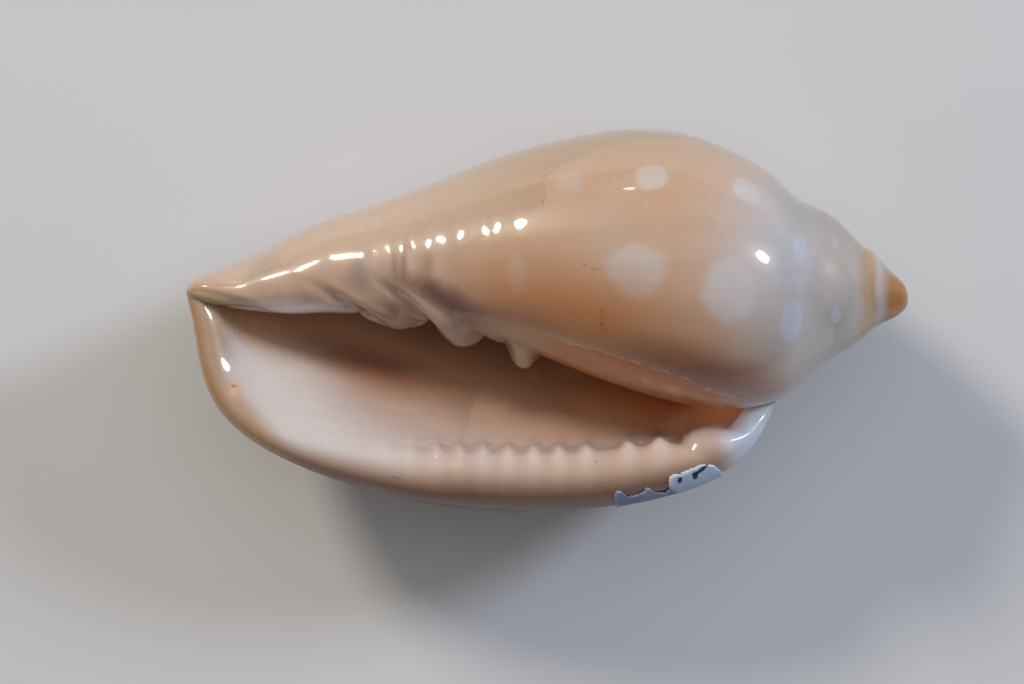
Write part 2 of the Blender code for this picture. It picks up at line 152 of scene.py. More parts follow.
# Softening of the rim near the canal, and of the slope deep inside: start and length of each fade, in rows
# from the outside of the lip, in rows from the last one and in stations.
RIM_SOFT_ROWS, RIM_SOFT_END, RIM_SOFT_TIP, RIM_SOFT_STATIONS = (0.0, 8.0), (50.0, 20.0), 0.3, (1.8, 1.6)
DEEP_SOFT_ROWS, DEEP_SOFT_END, DEEP_SOFT_TIP, DEEP_SOFT_STATIONS = (14.0, 16.0), 12.0, 0.5, (3.0, 1.5)
# Teeth on the inner edge of the lip: the x of each, its half width and its height.
TEETH = [(-10.2, 0.4, 0.1), (-8.6, 0.4, 0.22), (-7.0, 0.42, 0.3), (-5.55, 0.42, 0.3), (-4.05, 0.42, 0.33),
         (-2.5, 0.42, 0.33), (-0.9, 0.42, 0.35), (0.65, 0.42, 0.35), (2.35, 0.45, 0.36),
         (4.95, 0.5, 0.36), (6.95, 0.58, 0.46)]
TOOTH_DEPTH = 9.0  # degrees that a tooth reaches inwards
TOOTH_RIM = 0.66  # share of the rim, from its outside, where the teeth start
# Wrinkles across the pillar where the folds fade out: x, half width, height, and the turn they centre on.
WRINKLES = [(-21.3, 0.6, 0.07, -250.0), (-19.75, 0.55, -0.13, -225.0), (-17.6, 0.8, 0.05, -250.0),
            (-14.9, 0.8, 0.1, -268.0), (-13.2, 0.5, -0.07, -250.0), (-11.2, 0.55, 0.1, -252.0),
            (-10.25, 0.25, 0.035, -256.0), (-9.45, 0.2, -0.04, -262.0), (-8.85, 0.5, 0.12, -250.0),
            (-8.1, 0.22, -0.05, -258.0), (-7.15, 0.55, 0.12, -256.0), (-5.4, 0.7, 0.1, -240.0),
            (-4.0, 0.35, -0.035, -232.0), (-3.2, 0.35, 0.03, -230.0), (-2.2, 0.3, -0.02, -226.0)]
WRINKLE_SPAN, WRINKLE_SLANT = 28.0, 0.016
CALLUS_STEP = 0.06  # how far the callus beside the aperture stands out
CALLUS_RISE = 5.0  # degrees over which its step rises
CALLUS_INSIDE, CALLUS_CANAL = (-420.0, 40.0), (-4.0, 3.0)  # start and length of its fades, by turn and by x
# Outer edge of that callus: x and turn.
CALLUS_EDGE = [(-3.0, -290.0), (0.6, -301.0), (3.9, -304.0), (6.3, -310.0), (8.5, -314.0), (9.8, -322.0),
               (11.1, -327.0), (12.3, -336.0), (13.6, -343.0), (15.0, -352.0), (16.0, -356.0)]

# Columns once round, rows up to the corner of the aperture, steps over the rim, rows across the spire's
# whorls and columns inside.
COLUMNS, ROWS_TO_CORNER, ROWS_RIM, ROWS_SPIRE, ROWS_INSIDE = 160, 250, 16, 20, 54
RIM_GROWTH = 1.2  # degrees of growth that one step over the rim counts as

# ---- How it lies, as in the solid --------------------------------------------------------------------

ROLL, PITCH = -1.6, 1.9  # degrees about x and y
REST_FLAT = 0.12  # depth of the small worn flat that it lies on
TURN = Matrix.Rotation(np.radians(PITCH), 3, "Y") @ Matrix.Rotation(np.radians(ROLL), 3, "X")


def spline(knots, values, at):
    """A natural cubic spline through values, one row for each knot, read at each of at."""
    knots, values, at = (np.asarray(a, float) for a in (knots, values, at))
    flat = values.reshape(len(knots), -1)
    gaps = np.diff(knots)
    slopes = np.diff(flat, axis=0) / gaps[:, None]
    system = np.eye(len(knots))
    right = np.zeros_like(flat)
    for k in range(1, len(knots) - 1):
        system[k, k - 1 : k + 2] = gaps[k - 1], 2 * (gaps[k - 1] + gaps[k]), gaps[k]
        right[k] = 6 * (slopes[k] - slopes[k - 1])
    bends = np.linalg.solve(system, right)
    k = np.clip(np.searchsorted(knots, at, "right") - 1, 0, len(gaps) - 1)
    gap, a, b = gaps[k][:, None], (knots[k + 1] - at)[:, None], (at - knots[k])[:, None]
    found = (
        (bends[k] * a**3 + bends[k + 1] * b**3) / (6 * gap)
        + (flat[k] / gap - bends[k] * gap / 6) * a
        + (flat[k + 1] / gap - bends[k + 1] * gap / 6) * b
    )
    return found.reshape(len(at), *values.shape[1:])


def along(table, at):
    """Reads a table of (place, value) pairs as a smooth curve."""
    places, values = zip(*table)
    return spline(places, values, np.ravel(at)).reshape(np.shape(at))


def read(table, at):
    """Reads a table of (place, value) pairs, straight from one to the next."""
    return np.interp(at, *zip(*table))


def ease(t):
    """A smooth step from 0 to 1."""
    t = np.clip(t, 0.0, 1.0)
    return t * t * (3 - 2 * t)


def rise(value, start, length):
    """A smooth step that begins at start and is 1 a length further on."""
    return ease((value - start) / length)


def fall(value, start, length):
    """A smooth step down, from 1 at start to 0 a length further on."""
    return 1 - rise(value, start, length)


def bump(t):
    """A rounded bump, 1 at 0 and nothing beyond -1 and 1."""
    return np.clip(1 - np.abs(t) ** KNOB_TOP, 0.0, None) ** KNOB_SIDES


def hill(t):
    """A bell, 1 at 0, for marks and ridges with no edge."""
    return np.exp(-(t**2))


# ---- The growth of the shell -------------------------------------------------------------------------


def outlines_at(turns, stations):
    """(x, r) of the smooth last whorl for every turn and station."""
    angles = sorted(OUTLINES)
    net = np.array([[(TIP_X, 0.0), *OUTLINES[angle]] for angle in angles]).transpose(1, 0, 2)
    mirrored = net[:0:-1] * (1, -1)
    net = np.concatenate([mirrored, net])
    last = len(mirrored)
    rows = spline(np.arange(-last, last + 1), net, stations)
    return spline(angles, rows.transpose(1, 0, 2), turns)


def placed(turns, profile):
    """Swings each outline round the axis to its own turn."""
    angle = np.radians(np.asarray(turns, float))[:, None]
    x, r = profile[..., 0], profile[..., 1]
    lean = LEAN * np.clip(x - LEAN_X, 0, None) ** 2
    return np.stack([x, -np.cos(angle) * r - lean, np.sin(angle) * r], axis=-1)


def folds(turns, x):
    """How far the columella's folds stand out from the smooth whorl."""
    inwards = (EDGE_TURN - turns) / QUARTER
    outwards = -inwards
    crest = FOLD_INSIDE + (1 - FOLD_INSIDE) * hill(inwards.clip(0) / FOLD_CREST)
    faded = ease((FOLD_END - inwards) / FOLD_END_FADE) * crest
    drift = FOLD_LEAD * np.sign(inwards) * np.abs(inwards) ** np.where(inwards < 0, *FOLD_CURVE)
    narrowed = 1 - FOLD_NARROWING * ease(outwards / FOLD_NARROW_BY)
    blunt = LOBE_BLUNT + LOBE_TAPER * ease(outwards / LOBE_TAPER_BY)
    on_face = ease(outwards / FACE_RISE) * ease((inwards + FACE_END) / FACE_FADE)
    height, groove = np.zeros(x.shape), np.zeros(x.shape)
    for middle, ahead, behind, tall, reach in FOLDS:
        shown = ease((inwards + reach) / reach) ** FOLD_FADE
        from_ridge = x - middle - drift
        across = from_ridge / np.where(from_ridge < 0, ahead * narrowed, behind)
        lobe = np.clip(1 - across**2, 0.0, None) ** blunt
        height = np.maximum(height, tall * shown * faded * lobe)
        beside = hill((across + GROOVE_PLACE) / GROOVE_HALF) * on_face
        groove = np.maximum(groove, GROOVE_DEPTH * min(tall, 1.0) * beside * (reach > 1))
    return height - groove


def wrinkles(turns, x):
    """Small ridges and grooves across the pillar, beside the aperture."""
    height = 0.0
    for middle, half, tall, centre in WRINKLES:
        away = turns - centre
        height = height + tall * hill(away / WRINKLE_SPAN) * hill((x - middle + WRINKLE_SLANT * away) / half)
    return height


def callus(turns, x):
    """The thin callus laid on the wall beside the aperture."""
    covered = rise(read(CALLUS_EDGE, x), turns, CALLUS_RISE) * rise(turns, *CALLUS_INSIDE)
    return CALLUS_STEP * covered * rise(x, *CALLUS_CANAL)


def outside(turns, stations):
    """The outer surface with its folds, wrinkles and callus."""
    profile = outlines_at(turns, stations)
    turn, x = np.asarray(turns, float)[:, None], profile[..., 0].copy()
    profile[..., 1] += folds(turn, x) + wrinkles(turn, x) + callus(turn, x)
    return placed(turns, profile)


def outward(turn, stations):
    """Unit normals of the smooth outer surface along one outline."""
    fore = placed([turn + STEP], outlines_at([turn + STEP], stations))
    aft = placed([turn - STEP], outlines_at([turn - STEP], stations))
    upper = placed([turn], outlines_at([turn], stations + STEP))
    lower = placed([turn], outlines_at([turn], stations - STEP))
    normal = np.cross(upper - lower, fore - aft)[0]
    return normal / np.linalg.norm(normal, axis=-1, keepdims=True)


def wall_thickness(turn, stations):
    """The outer wall, which swells to the full lip over its last stretch."""
    full = 1 - ease(-turn / LIP_FADE)
    thin = WALL * read(THIN_WALL, stations)
    swell = ease(-turn / FLARE_SWELL_TURN) * fall(-turn, FLARE_SWELL_END, FLARE_SWELL_FADE)
    return thin + (along(LIP_THICKNESS, stations) - thin) * full + along(FLARE_SWELL, stations) * swell


def tooth_height(x):
    """How far the teeth of the lip stand in at each x."""
    return sum(tall * hill((x - middle) / half) for middle, half, tall in TEETH)


def spire_profile(turn, shares):
    """(x, r) across one whorl of the spire, from the suture below it to the one above it."""
    def radius(at):
        """Distance of the suture from the axis at a turn."""
        r = OUTLINES[EDGE_TURN][-1][1] * WHORL_GROWTH ** ((at - EDGE_TURN) / FULL)
        if at < DOME_TURN:
            r = DOME_RADIUS * np.sqrt(np.clip((at - FIRST_TURN) / (DOME_TURN - FIRST_TURN), 0, 1))
        return r

    r = radius(turn + FULL) * (1 - shares) + radius(turn) * shares
    cone = CONE_X - CONE_SLOPE * r
    top = CONE_X - CONE_SLOPE * DOME_RADIUS + DOME_HEIGHT
    x = np.where(r < DOME_RADIUS, top - DOME_HEIGHT * (r / DOME_RADIUS) ** DOME_BLUNTNESS, cone)
    places, swells = zip(*WHORL_SWELL)
    width = np.hypot(x[-1] - x[0], r[-1] - r[0])
    swell = np.interp(turn, places, swells) * width * 4 * shares * (1 - shares)
    lean = np.hypot(1, CONE_SLOPE)
    return np.stack([x + swell / lean, r + swell * CONE_SLOPE / lean], axis=-1)


class Net:
    """Points, faces and growth coordinates of one mesh, put together from grids."""

    def __init__(self):
        self.points, self.traits, self.faces, self.growth = [], [], [], []

    def add(self, grid, traits):
        """Adds a grid of points, each with its traits, and returns its point numbers."""
        first = len(self.points)
        flat = np.asarray(grid, float).reshape(-1, 3)
        self.points.extend(flat)
        self.traits.extend(np.broadcast_to(traits, (*np.shape(grid)[:-1], 4)).reshape(-1, 4))
        return np.arange(first, first + len(flat)).reshape(np.shape(grid)[:-1])

    def patch(self, numbers, growth, flip=False):
        """Fills a grid of point numbers with faces, which are triangles where corners coincide."""
        rows, columns = numbers.shape
        for i in range(rows - 1):
            for j in range(columns - 1):
                places = [(i, j), (i, j + 1), (i + 1, j + 1), (i + 1, j)]
                kept = {int(numbers[p]): growth[p] for p in reversed(places)}
                if len(kept) > 2:
                    order = sorted(kept, key=[int(numbers[p]) for p in places].index, reverse=flip)
                    self.faces.append(order)
                    self.growth.extend(kept[k] for k in order)

    def zip_up(self, left, right):
        """Fills the gap between two runs of points that share both ends."""
        i = j = 0
        while i < len(left) - 1 or j < len(right) - 1:
            step_left = (i + 1) / len(left) <= (j + 1) / len(right) and i < len(left) - 1
            if step_left or j == len(right) - 1:
                corners = [left[i], left[i + 1], right[j]]
                i += 1
            else:
                corners = [left[i], right[j + 1], right[j]]
                j += 1
            if len(set(corners)) == 3:
                self.faces.append([int(c) for c in corners])
                self.growth.extend([(0.0, 0.0)] * 3)


BODY, SPIRE, RIM, INSIDE, PILLAR = range(5)  # what a point belongs to


class Shell:
    """The grids of points that make up the shell, in its own axes and in millimetres."""

    def __init__(self, columns, to_corner, rim_steps, spire_rows, inside_columns):
        self.rim_steps = rim_steps
        self.stations = np.concatenate([
            np.linspace(0, CORNER, to_corner + 1),
            np.linspace(CORNER, SHOULDER, rim_steps + 1)[1:],
            np.linspace(SHOULDER, SUTURE, spire_rows + 1)[1:],
        ])
        self.corner, self.shoulder = to_corner, to_corner + rim_steps
        self.turns = np.linspace(-FULL, 0.0, columns + 1)
        depth = np.linspace(0, 1, inside_columns + 1)
        self.depths = -CAVITY_TURN * ((1 - CAVITY_CROWDING) * depth + CAVITY_CROWDING * depth**2)
        self.wall = np.array([self.inner_outline(turn) for turn in self.depths])
        self.pillar = self.inner_pillar()
        self.close_corner()
        self.flare_lip()
        self.inner_edge = self.wall[0].copy()  # as it is before the teeth are cut
        self.body = self.last_whorl()
        self.rim = self.lip_rim()
        self.soften_lip()
        self.cut_teeth()
        self.spire = self.spire_strip()

    def inner_outline(self, turn):
        """One outline of the inside of the outer wall."""
        quarters = -turn / QUARTER
        first = sum(term * quarters**power for power, term in enumerate(INNER_START))
        stations = first + (INNER_END - first) * self.stations / SUTURE
        base = placed([turn], outlines_at([turn], stations))[0]
        thick = wall_thickness(turn, stations)
        x, half_width, tall = KNOB
        thick = thick + tall * bump((base[:, 0] - x) / half_width) * hill(turn / KNOB_TURN)
        return base - outward(turn, stations) * thick[:, None]

    def inner_pillar(self):
        """The columella and the wall between the whorls, from the aperture inwards."""
        columns = []
        for turn, wall in zip(self.depths, self.wall):
            first = PILLAR_SHIFT * ease(-turn / PILLAR_SHIFT_TURN)
            stations = first + (CORNER - first) * self.stations[: self.corner + 1] / CORNER
            column = outside([turn + EDGE_TURN], stations)[0]
            fade = 1 - ease(self.stations[: self.corner + 1] / TIP_STATIONS)
            columns.append(column + (wall[0] - column[0]) * fade[:, None])
        return np.array(columns)

    def close_corner(self):
        """Bends the end of the inner wall to the line where it meets the whorl before."""
        share = rise(self.stations, CORNER_BEND, SUTURE - CORNER_BEND)[:, None]
        gap = self.pillar[:, -1] - self.wall[:, -1]
        self.wall += gap[:, None] * share

    def flare_lip(self):
        """Fills the inside of the lip to a slope from the rim, gentlest near the canal."""
        flare = read(LIP_FLARE, self.stations)
        crest = along(RIM_HEIGHT, self.stations) * np.sin(np.pi * (1 - flare / 2))
        slope = along(INNER_SLOPE, self.stations)
        edge = self.wall[0, :, :2].copy()
        for turn, wall in zip(self.depths, self.wall):
            away = np.hypot(*(wall[:, :2] - edge).T)
            missing = (crest - slope * away - wall[:, 2]).clip(0)
            wall[:, 2] += missing * fall(-turn, FLARE_FLAT, FLARE_FADE)

    def rim_end(self):
        """From the tip of the canal over to the inside of the lip."""
        share = np.linspace(0, 1, self.rim_steps + 1)[:, None]
        tip = np.array([TIP_X, 0.0, 0.0])
        path = tip + (self.wall[0, 0] - tip) * (1 - np.cos(np.pi * share)) / 2
        path[:, 2] += RIM_HEIGHT[0][1] * np.sin(np.pi * share[:, 0])
        return path

    def last_whorl(self):
        """The outside of the last whorl, whose first columns edge the canal."""
        points = outside(self.turns, self.stations)
        fade = (1 - ease(self.stations / TIP_STATIONS))[:, None]
        path = self.rim_end()
        for step in range(self.rim_steps + 1):
            points[step] += (path[self.rim_steps - step] - path[0]) * fade
        return points

    def lip_rim(self):
        """The rounded rim, from the outside of the lip to its inside."""
        outer, inner = self.body[-1], self.wall[0]
        share = np.linspace(0, 1, self.rim_steps + 1)[:, None]
        arc = np.pi * (1 - read(LIP_FLARE, self.stations) / 2)
        across = (1 - np.cos(arc * share)) / (1 - np.cos(arc))
        rim = outer + (inner - outer) * across[..., None]
        rim[..., 2] += along(RIM_HEIGHT, self.stations) * (np.sin(arc * share) - np.sin(arc) * across)
        ends = self.body[0, self.shoulder - np.arange(self.rim_steps + 1)]
        last = rise(self.stations, SHOULDER, SUTURE - SHOULDER)
        rim += (ends - rim[:, -1])[:, None] * last[:, None]
        return rim

    def soften_lip(self):
        """Rounds the change from the rim to the inner slope near the canal."""
        rows = np.concatenate([self.rim, self.wall[1:]])
        number = np.arange(len(rows))[:, None]
        held = rise(number, *RIM_SOFT_ROWS) * ease((RIM_SOFT_END[0] - number) / RIM_SOFT_END[1])
        near_canal = fall(self.stations, *RIM_SOFT_STATIONS) * ease(self.stations / RIM_SOFT_TIP)
        soft = (held * near_canal)[..., None]
        for _ in range(SOFTENING_PASSES):
            rows[1:-1] += soft[1:-1] * (rows[:-2] + rows[2:] - 2 * rows[1:-1]) / 4
        held = rise(number, *DEEP_SOFT_ROWS) * ease((len(rows) - 1 - number) / DEEP_SOFT_END)
        near_canal = ease(self.stations / DEEP_SOFT_TIP) * fall(self.stations, *DEEP_SOFT_STATIONS)
        soft = (held * near_canal)[..., None]
        for _ in range(INNER_PASSES):
            rows[:, 1:-1] += soft[:, 1:-1] * (rows[:, :-2] + rows[:, 2:] - 2 * rows[:, 1:-1]) / 4
            rows[1:-1] += soft[1:-1] * (rows[:-2] + rows[2:] - 2 * rows[1:-1]) / 4
        self.rim, self.wall[1:] = rows[: len(self.rim)], rows[len(self.rim) :]
        self.wall[0] = self.rim[-1]

    def cut_teeth(self):
        """Raises the teeth along the inner edge of the lip, over the rim and inwards."""
        for turn, wall in zip(self.depths, self.wall):
            wall[:, 1] += tooth_height(wall[:, 0]) * hill(turn / TOOTH_DEPTH)
        share = np.linspace(0, 1, self.rim_steps + 1)[:, None]
        height = tooth_height(self.rim[..., 0]) * rise(share, TOOTH_RIM, 1 - TOOTH_RIM)
        self.rim[..., 1] += height * np.sin(np.pi / 2 * share)
        self.rim[..., 2] += height * np.cos(np.pi / 2 * share)

    def spire_strip(self):
        """The older whorls, one spiral strip from the first whorl to the last one."""
        columns = len(self.turns) - 1
        count = round(-FIRST_TURN / FULL * columns)
        self.spire_turns = EDGE_TURN - FULL / columns * np.arange(count, -1, -1)
        shares = np.linspace(0, 1, len(self.stations) - self.shoulder)
        profile = np.array([spire_profile(turn, shares) for turn in self.spire_turns])
        last = outlines_at(self.turns, self.stations)
        seam = last[:, -1] - profile[-len(self.turns) :, 0]
        profile[-len(self.turns) :] += seam[:, None] * (1 - shares)[:, None]
        late = rise(self.spire_turns, *SPIRE_JOIN)[:, None, None]
        profile += (last[0, self.shoulder :] - profile[-1]) * late
        return placed(self.spire_turns, profile)

    def net(self):
        """Joins the grids into one closed net. A point's traits: kind, turn, station, share of rim."""
        net = Net()
        steps = np.arange(self.rim_steps + 1)

        def grid(points, kind, turns, stations, share=0.0):
            """Adds a grid, and returns its point numbers and its growth coordinates."""
            turn, station = np.broadcast_arrays(np.reshape(turns, (-1, 1)), stations)
            traits = np.stack([np.full(turn.shape, float(kind)), turn, station,
                               np.broadcast_to(share, turn.shape)], axis=-1)
            return net.add(points, traits), np.stack([turn, station], axis=-1)

        s = self.stations
        body, body_growth = grid(self.body, BODY, self.turns, s)
        body[self.rim_steps :, 0] = body[-1, 0]
        body[-1, -1] = body[0, self.shoulder]
        pillar, pillar_growth = grid(
            self.pillar, PILLAR, self.depths + EDGE_TURN, s[: self.corner + 1])
        pillar[0] = body[0, : self.corner + 1]
        wall, wall_growth = grid(self.wall, INSIDE, self.depths, s)
        wall[:, 0], wall[:, -1] = pillar[:, 0], pillar[:, -1]
        rim, rim_growth = grid(
            self.rim, RIM, steps * RIM_GROWTH, s, (steps / self.rim_steps)[:, None])
        rim[0], rim[-1] = body[-1], wall[0]
        rim[:, -1], rim[:, 0] = body[0, self.shoulder - steps], body[self.rim_steps - steps, 0]
        spire, spire_growth = grid(self.spire, SPIRE, self.spire_turns, s[self.shoulder :])
        columns = len(self.turns) - 1
        spire[-1] = body[0, self.shoulder :]
        spire[: columns + 1, -1] = spire[0, -1]
        spire[0] = spire[0, -1]
        for column in range(len(spire) - 1):
            below = column + columns - (len(spire) - 1)
            spire[column, 0] = body[below, -1] if below >= 0 else spire[column + columns, -1]
        net.patch(body, body_growth)
        net.patch(pillar, pillar_growth, flip=True)
        net.patch(wall, wall_growth)
        net.patch(rim, rim_growth)
        net.patch(spire, spire_growth)
        net.zip_up(wall[-1], pillar[-1])
        return net


def soften_spire(net):
    """Rounds the sutures of the spire, as the glaze laid over them does."""
    points = np.array(net.points)
    size = len(points)
    near = points[:, 0] > SPIRE_X[0]
    edges = ((a, b) for face in net.faces for a, b in zip(face, (*face[1:], face[0])) if near[a])
    one, other = np.array(sorted({(min(edge), max(edge)) for edge in edges})).T
    count = np.bincount(one, minlength=size) + np.bincount(other, minlength=size)
    held = (rise(points[:, 0], SPIRE_X[0], SPIRE_X[1] - SPIRE_X[0]) * (count > 2))[:, None]
    for _ in range(SPIRE_PASSES):
        total = np.stack([
            np.bincount(one, axis[other], size) + np.bincount(other, axis[one], size) for axis in points.T
        ], axis=-1)
        points += held * SPIRE_PULL * (total / count.clip(1)[:, None] - points)
    return points


# ---- Where each finish lies --------------------------------------------------------------------------

RIM_SPAN = 20.0  # the rim counts as this many degrees of turn, from the outside of the lip inwards

# Where each finish starts to fade in or out, and over what length, in degrees of turn.
WITHIN_FADE, PILLAR_WITHIN = (-6.0, 34.0), (-12.0, -45.0)  # the colour of the inside
WHITE_FADE, WHITE_RISE = (-12.0, 30.0), 11.0  # the enamel
VARIX_OUTER, VARIX_INNER = (-17.0, 10.0), (0.0, 20.0)
UNDER_OUTER, UNDER_INNER = (-13.0, 9.0), (1.0, 12.0)  # painted shade: the underside of the lip, darkened to red-brown where it turns from the light
PILLAR_TURN = (-200.0, -50.0)
THIN_EDGE_PLACE, THIN_EDGE_HALF = -4.0, 11.0  # from the edge of the aperture
TEETH_PLACE, TEETH_HALF = 19.0, 7.0
GROWN_FROM = -20.0  # the whorl behind the lip's own stretch
# The same along x, in millimetres.
UNDER_CANAL, UNDER_APEX = (-22.0, 8.0), (9.0, 3.0)
CALLUS_X, CALLUS_END = (-1.8, 3.0), (11.3, 1.6)
PILLAR_X, THIN_EDGE_X, TEETH_X, SPIRE_TINT_X = (-8.0, 8.0), (12.0, 2.0), (-13.0, 4.0), (10.0, 6.5)
TOOTH_FULL, TOOTH_BETWEEN = 0.3, 0.45  # height of a whole tooth, and how pale the rim is between two
FAR_TURN, FAR_X, FAR_SPOT = 20.0, 4.0, 3.0  # the furthest from an edge that is told apart
WELL_OUTSIDE = 30.0  # from the axis, past any part of the shell

# Where the white enamel of the lip begins at each x, how far inwards it reaches, and how white it is.
ENAMEL_START = [(-23.0, 7.0), (10.5, 7.0), (12.0, -5.0), (15.0, -5.0)]
ENAMEL_REACH = [(-22.6, 56.0), (-19.0, 62.0), (-15.4, 68.0), (-13.0, 60.0), (-11.5, 50.0), (-9.2, 38.0),
                (-7.0, 32.0), (-3.0, 30.0), (5.0, 30.0), (9.0, 34.0), (12.0, 44.0), (15.0, 50.0)]
ENAMEL_STRENGTH = [(-23.0, 0.35), (-20.5, 0.7), (-18.0, 0.95), (-14.0, 1.0), (-10.0, 0.85), (-6.5, 0.5),
                   (0.0, 0.35), (6.0, 0.3), (9.5, 0.4), (12.0, 1.0), (15.0, 1.0)]
# Edge of the straw-coloured glaze over the canal half of the whorl: turn and x.
GLAZE_EDGE = [(-260.0, -9.0), (-240.0, -4.0), (-233.0, -1.2), (-228.0, -0.2), (-217.0, -0.4), (-211.0, 0.6),
              (-205.0, 2.5), (-200.0, 6.5), (-195.0, 9.0), (-186.0, 10.9), (-178.0, 12.0), (-150.0, 9.0),
              (-110.0, 3.0), (-60.0, -3.0), (0.0, -8.0)]


def marks_of_shell(traits, points):
    """Where each finish lies: shares from 0 to 1, and distances past an edge, which end in "past"."""
    kind, turn, _, share = traits.T
    x = points[:, 0]
    place = np.where(kind == INSIDE, RIM_SPAN - turn, turn)
    place = np.where(kind == RIM, share * RIM_SPAN, place)
    past_reach = place - read(ENAMEL_REACH, x)
    grown = ((kind == BODY) & (turn < GROWN_FROM)) | (kind == PILLAR)
    past_edge = turn - EDGE_TURN
    white = rise(place, read(ENAMEL_START, x), WHITE_RISE) * fall(past_reach, *WHITE_FADE)
    within = np.where(kind == INSIDE, rise(past_reach, *WITHIN_FADE), 0.0)
    on_tooth = TOOTH_BETWEEN + (1 - TOOTH_BETWEEN) * (tooth_height(x) / TOOTH_FULL).clip(0, 1)
    past_callus, past_glaze = read(CALLUS_EDGE, x) - turn, read(GLAZE_EDGE, turn) - x
    return {
        "enamel": white * read(ENAMEL_STRENGTH, x),
        "varix": rise(place, *VARIX_OUTER) * fall(past_reach, *VARIX_INNER),
        "under_lip_shade": rise(place, *UNDER_OUTER) * fall(place, *UNDER_INNER)
        * rise(x, *UNDER_CANAL) * fall(x, *UNDER_APEX),
        "callus_past": np.where(grown, past_callus.clip(-FAR_TURN, FAR_TURN), -FAR_TURN),
        "callus": grown * rise(x, *CALLUS_X) * fall(x, *CALLUS_END) * rise(turn, *CALLUS_INSIDE),
        "within": np.where(kind == PILLAR, rise(past_edge, *PILLAR_WITHIN), within),
        "glaze_past": np.where(kind == BODY, past_glaze.clip(-FAR_X, FAR_X), -FAR_X),
        "pillar": grown * rise(turn, *PILLAR_TURN) * fall(x, *PILLAR_X),
        "thin_edge_glow": grown * hill((past_edge - THIN_EDGE_PLACE) / THIN_EDGE_HALF) * fall(x, *THIN_EDGE_X),
        "teeth": on_tooth * hill((place - TEETH_PLACE) / TEETH_HALF) * (kind != BODY) * rise(x, *TEETH_X),
        "spire": rise(x, *SPIRE_TINT_X) * (kind != INSIDE),
    }


# ---- The label ---------------------------------------------------------------------------------------

# Torn edges of the label: station, edge over the outside of the lip, edge over its rim.
LABEL_EDGES = [(6.33, -0.25, 0.1), (6.36, -0.45, 0.28), (6.42, -0.52, 0.34), (6.48, -0.55, 0.34),
               (6.51, -0.55, 0.26), (6.66, -0.65, 0.26), (6.75, -0.7, 0.29), (6.79, -0.7, 0.33),
               (6.83, -0.68, 0.29), (6.86, -0.7, 0.21), (6.98, -0.72, 0.19), (7.05, -0.75, 0.24),
               (7.12, -0.74, 0.34), (7.18, -0.75, 0.4), (7.45, -0.7, 0.41), (7.62, -0.68, 0.43),
               (7.73, -0.62, 0.43), (7.81, -0.57, 0.4), (7.86, -0.52, 0.34)]
LABEL_SLANT = 0.1  # how much shorter the label is at its lower edge, in stations
LABEL_STRETCH = 12.0  # degrees of the outside that one unit across the label stands for
LABEL_ROWS, LABEL_STEPS = 150, 36
LABEL_SEED = 7
TOP_RAGGED, BOTTOM_RAGGED = 0.012, 0.03  # how rough its edges are torn
SLANT_START = (7.3, 0.5)  # station where that slant begins, and over what length
EDGE_ROWS, EDGE_STEPS = 6.0, 3.5  # width of the frayed edge, along and across
PAPER, PAPER_GAP = 0.09, 0.03
TORN_STATION, TORN_EDGE = 7.08, 0.05  # the face of the paper is torn away up to here
TORN_SLANT, TORN_MIDDLE, TORN_DEPTH = 0.2, 0.8, 0.45  # that tear's slant, and the share of the paper gone
# Cockles of the paper: height, waves along and waves across. The edges curl up in waves too.
COCKLES = [(0.01, 17.0, 5.0), (0.006, 8.0, -13.0)]
DEEPEST_COCKLE = 0.01
CURL, CURL_WAVES = 0.02, 31.0


def lip_skin(shell, stations, across):
    """Points on the lip: across is negative over its outside, and 0 to 1 over its rim."""
    order = np.arange(len(stations))
    over_outside = outside(across.clip(max=0) * LABEL_STRETCH, stations)[order, order]
    inner = np.stack([np.interp(stations, shell.stations, edge) for edge in shell.inner_edge.T], axis=-1)
    share = across.clip(min=0)[:, None]
    rim = (inner - over_outside) * (1 - np.cos(np.pi * share)) / 2
    rim[:, 2] += along(RIM_HEIGHT, stations) * np.sin(np.pi * share[:, 0])
    return over_outside + rim * (share > 0)


def border(grid):
    """The point numbers once round the edge of a grid, back to the first."""
    return [*grid[0], *grid[1:, -1], *grid[-1, -2::-1], *grid[-2::-1, 0]]


